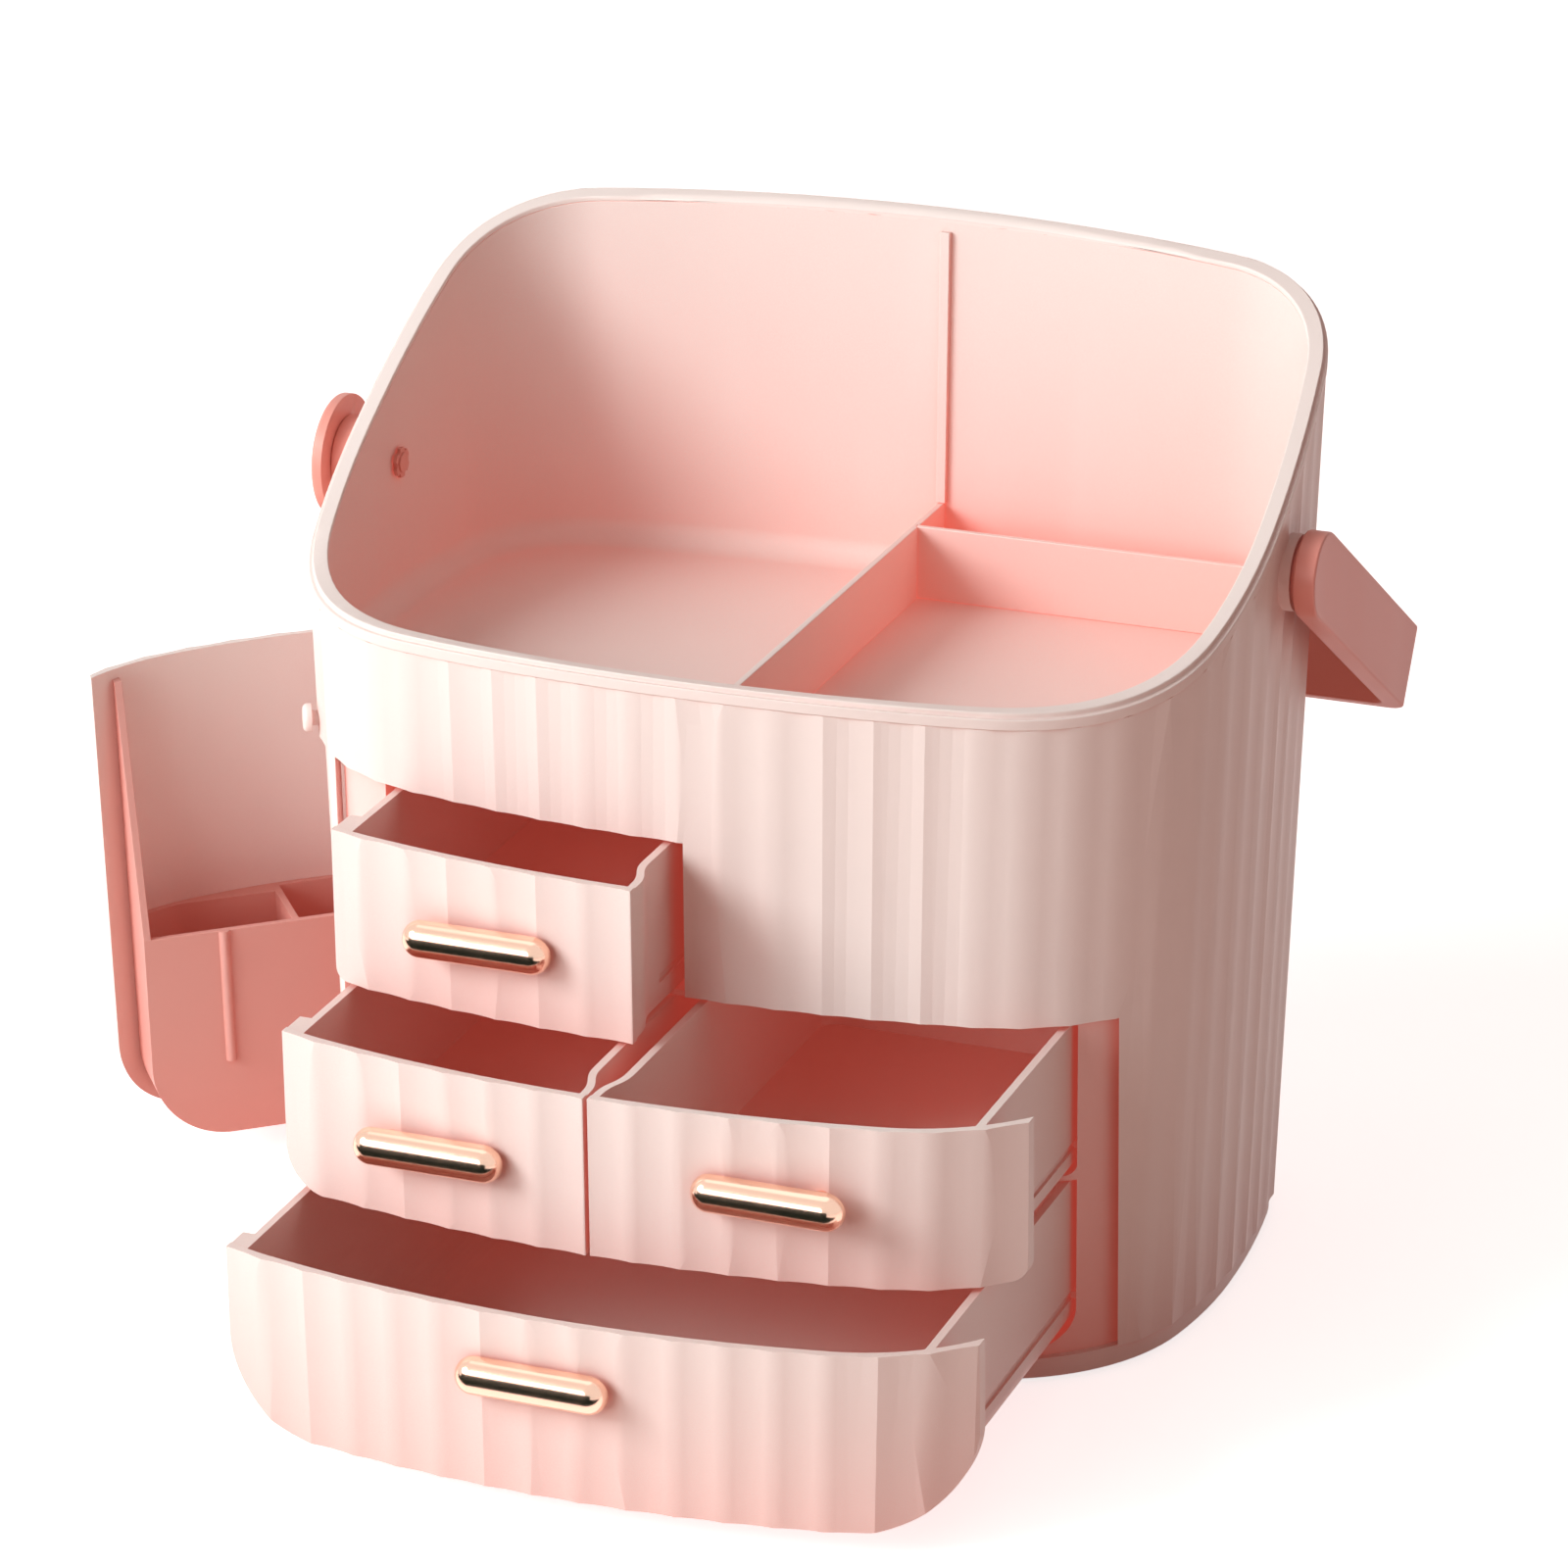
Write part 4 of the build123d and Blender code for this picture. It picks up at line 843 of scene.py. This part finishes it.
class MAKEUPCASE_OT_door(bpy.types.Operator):
    """Side door, brush bin, hinge pins and catch button."""

    bl_idname = "makeup_case.door"
    bl_label = "Side door"

    def execute(self, context):
        dressed("side_door", "door", skin_finish(), 0.8, RIDGE_SMOOTH_BELOW)
        dressed("brush_bin", "door", bin_finish(), 0.8)
        dressed("door_button", "button", skin_finish(), 0.4)
        finish_node("hinge_pins", steel_finish())
        return {"FINISHED"}


class MAKEUPCASE_OT_handle(bpy.types.Operator):
    """Carry handle with its pivots."""

    bl_idname = "makeup_case.handle"
    bl_label = "Carry handle"

    def execute(self, context):
        dressed("carry_handle", "handle", handle_finish(), 1.6, outer_only=True)
        dressed("pivot_cap_left", "handle", handle_finish(), 0.6, outer_only=True)
        finish_node("pivot_retainers", handle_finish())
        finish_node("pivot_washers", handle_finish())
        return {"FINISHED"}


class MAKEUPCASE_OT_feet(bpy.types.Operator):
    """Foot pads and base screws under the plinth."""

    bl_idname = "makeup_case.feet"
    bl_label = "Feet"

    def execute(self, context):
        boxes = island_boxes("foot_pads")
        height = boxes[0][1].z - boxes[0][0].z
        radius = (boxes[0][1].x - boxes[0][0].x) / 2
        pads = from_tree(
            "foot_pad_set",
            [((low.x + high.x) / 2, (low.y + high.y) / 2, low.z) for low, high in boxes],
            pad_tree(),
            {"Radius": radius, "Height": height, "Finish": pad_finish()},
        )
        stand_for(pads, "foot_pads", "case", pad_finish())
        screws(
            "base_screw",
            "base_screws",
            "case",
            lambda low, high: ((low.x + high.x) / 2, (low.y + high.y) / 2, low.z + HEAD_HEIGHT),
            (math.pi, 0.0, 0.0),
        )
        return {"FINISHED"}


class MAKEUPCASE_OT_stage(bpy.types.Operator):
    """Floor, soft studio light, world and camera."""

    bl_idname = "makeup_case.stage"
    bl_label = "Studio"

    def execute(self, context):
        stage_sheet("floor", *floor_shape(), floor_finish())
        card = stage_sheet("dark_card", *card_shape(), card_finish())
        for ray in ("camera", "diffuse", "transmission", "volume_scatter", "shadow"):
            setattr(card, "visible_" + ray, False)
        context.scene.world = room_light()
        hang_lamps(context.scene)
        set_camera(context.scene)
        context.scene.view_settings.view_transform = "Standard"
        return {"FINISHED"}


def stage_sheet(name, points, faces, finish):
    """Flat sheet of the studio."""
    mesh = bpy.data.meshes.new(name)
    mesh.from_pydata(points, [], faces)
    mesh.materials.append(finish)
    sheet = bpy.data.objects.new(name, mesh)
    bpy.context.scene.collection.objects.link(sheet)
    return sheet


def floor_shape():
    """Points and face of the floor."""
    far = FLOOR_REACH
    return [(-far, -far, 0), (far, -far, 0), (far, far, 0), (-far, far, 0)], [(0, 1, 2, 3)]


def card_shape():
    """Points and faces of the dark card: its lying part, then its rising part."""
    points = [
        (CARD_LEFT, CARD_NEAR, CARD_LOW),
        (CARD_RIGHT, CARD_NEAR, CARD_LOW),
        (CARD_RIGHT, CARD_FAR, CARD_LOW),
        (CARD_LEFT, CARD_FAR, CARD_LOW),
        (CARD_RIGHT, CARD_FAR, CARD_HIGH),
        (CARD_LEFT, CARD_FAR, CARD_HIGH),
    ]
    return points, [(3, 2, 1, 0), (5, 4, 2, 3)]


def room_light():
    """Warm room that is stronger from the left and below, and white where it is in view."""
    world = bpy.data.worlds.new("studio")
    world.use_nodes = True
    tree = world.node_tree
    link = tree.links.new
    light = tree.nodes["Background"]
    light.inputs["Color"].default_value = ROOM_COLOR
    toward = place(tree, "ShaderNodeTexCoord")
    parts = place(tree, "ShaderNodeSeparateXYZ")
    link(toward.outputs["Generated"], parts.inputs[0])
    side = math_chain(tree, parts.outputs["X"], ("MULTIPLY", ROOM_LEFT_TO_RIGHT), ("ADD", 1.0))
    high = math_chain(tree, parts.outputs["Z"], ("MULTIPLY", ROOM_LOW_TO_HIGH), ("ADD", 1.0))
    power = math_chain(tree, side, ("MULTIPLY", high), ("MULTIPLY", ROOM_POWER))
    link(power, light.inputs["Strength"])
    seen = place(tree, "ShaderNodeBackground", Color=WHITE, Strength=1.0)
    mix = place(tree, "ShaderNodeMixShader")
    link(view_ray(tree), mix.inputs["Fac"])
    link(light.outputs[0], mix.inputs[1])
    link(seen.outputs[0], mix.inputs[2])
    link(mix.outputs[0], tree.nodes["World Output"].inputs["Surface"])
    return world


def hang_lamps(scene):
    """Round lamps around the case."""
    middle = Vector(CASE_MIDDLE)
    for name, (spot, width, power) in LIGHTS.items():
        lamp = bpy.data.lights.new(name, "AREA")
        lamp.shape = "DISK"
        lamp.size = width
        lamp.energy = power
        holder = bpy.data.objects.new(name, lamp)
        scene.collection.objects.link(holder)
        aim = (middle - Vector(spot)).to_track_quat("-Z", "Y").to_matrix().to_4x4()
        holder.matrix_world = Matrix.Translation(spot) @ aim


def set_camera(scene):
    """Camera where the photograph was taken from."""
    camera = bpy.data.cameras.new("photo_camera")
    camera.lens = CAMERA_LENS
    camera.sensor_width = CAMERA_SENSOR
    camera.clip_end = CAMERA_REACH
    eye = bpy.data.objects.new("photo_camera", camera)
    eye.location = CAMERA_PLACE
    eye.rotation_euler = (math.radians(90.0 - CAMERA_DOWN), 0.0, math.radians(CAMERA_TURN))
    scene.collection.objects.link(eye)
    scene.camera = eye


def view_ray(tree):
    """One where a ray comes straight from the camera or by way of metal or glass."""
    path = place(tree, "ShaderNodeLightPath")
    first = place(tree, "ShaderNodeMath", operation="MAXIMUM")
    second = place(tree, "ShaderNodeMath", operation="MAXIMUM")
    tree.links.new(path.outputs["Is Camera Ray"], first.inputs[0])
    tree.links.new(path.outputs["Is Glossy Ray"], first.inputs[1])
    tree.links.new(first.outputs[0], second.inputs[0])
    tree.links.new(path.outputs["Is Transmission Ray"], second.inputs[1])
    return second.outputs[0]


def card_finish():
    """Black card with a green cast."""
    material, tree = new_material("dark_card")
    tint = place(tree, "ShaderNodeEmission", Color=CARD_COLOR, Strength=1.0)
    tree.links.new(tint.outputs[0], tree.nodes["Material Output"].inputs["Surface"])
    return material


def floor_finish():
    """Pale floor that keeps the case's shadow and sends warm light up to its shaded side."""
    material, tree = new_material("sweep")
    shader = tree.nodes["Principled BSDF"]
    tone = place(tree, "ShaderNodeMix", data_type="RGBA")
    tone.inputs["A"].default_value = FLOOR_BOUNCE
    tone.inputs["B"].default_value = FLOOR_COLOR
    shader.inputs["Roughness"].default_value = 0.9
    shader.inputs["Specular IOR Level"].default_value = 0.1
    glow = place(tree, "ShaderNodeEmission", Color=WHITE, Strength=FLOOR_GLOW)
    dark = place(tree, "ShaderNodeEmission", Strength=0.0)
    choice = place(tree, "ShaderNodeMixShader")
    both = place(tree, "ShaderNodeAddShader")
    link = tree.links.new
    seen = view_ray(tree)
    link(seen, tone.inputs["Factor"])
    link(tone.outputs["Result"], shader.inputs["Base Color"])
    link(seen, choice.inputs["Fac"])
    link(dark.outputs[0], choice.inputs[1])
    link(glow.outputs[0], choice.inputs[2])
    link(shader.outputs[0], both.inputs[0])
    link(choice.outputs[0], both.inputs[1])
    link(both.outputs[0], tree.nodes["Material Output"].inputs["Surface"])
    return material


STEPS = (
    MAKEUPCASE_OT_shell,
    MAKEUPCASE_OT_bowl,
    MAKEUPCASE_OT_cabinet,
    MAKEUPCASE_OT_drawers,
    MAKEUPCASE_OT_pulls,
    MAKEUPCASE_OT_door,
    MAKEUPCASE_OT_handle,
    MAKEUPCASE_OT_feet,
    MAKEUPCASE_OT_stage,
)


class MAKEUPCASE_PT_panel(bpy.types.Panel):
    """Lists the case's settings and steps."""

    bl_idname = "MAKEUPCASE_PT_panel"
    bl_label = "Makeup Case"
    bl_space_type = "VIEW_3D"
    bl_region_type = "UI"
    bl_category = "Makeup Case"

    def draw(self, context):
        column = self.layout.column()
        for name in CaseSettings.__annotations__:
            column.prop(context.scene.makeup_case, name)
        for step in STEPS:
            column.operator(step.bl_idname)


def register():
    """Adds the settings, the steps and the panel to Blender."""
    bpy.utils.register_class(CaseSettings)
    bpy.types.Scene.makeup_case = PointerProperty(type=CaseSettings)
    for step in STEPS:
        bpy.utils.register_class(step)
    bpy.utils.register_class(MAKEUPCASE_PT_panel)


def unregister():
    """Takes them away again."""
    bpy.utils.unregister_class(MAKEUPCASE_PT_panel)
    for step in reversed(STEPS):
        bpy.utils.unregister_class(step)
    del bpy.types.Scene.makeup_case
    bpy.utils.unregister_class(CaseSettings)


def main():
    register()
    for step in STEPS:
        group, call = step.bl_idname.split(".")
        getattr(getattr(bpy.ops, group), call)()
    bpy.context.view_layer.update()


if __name__ == "__main__":
    main()
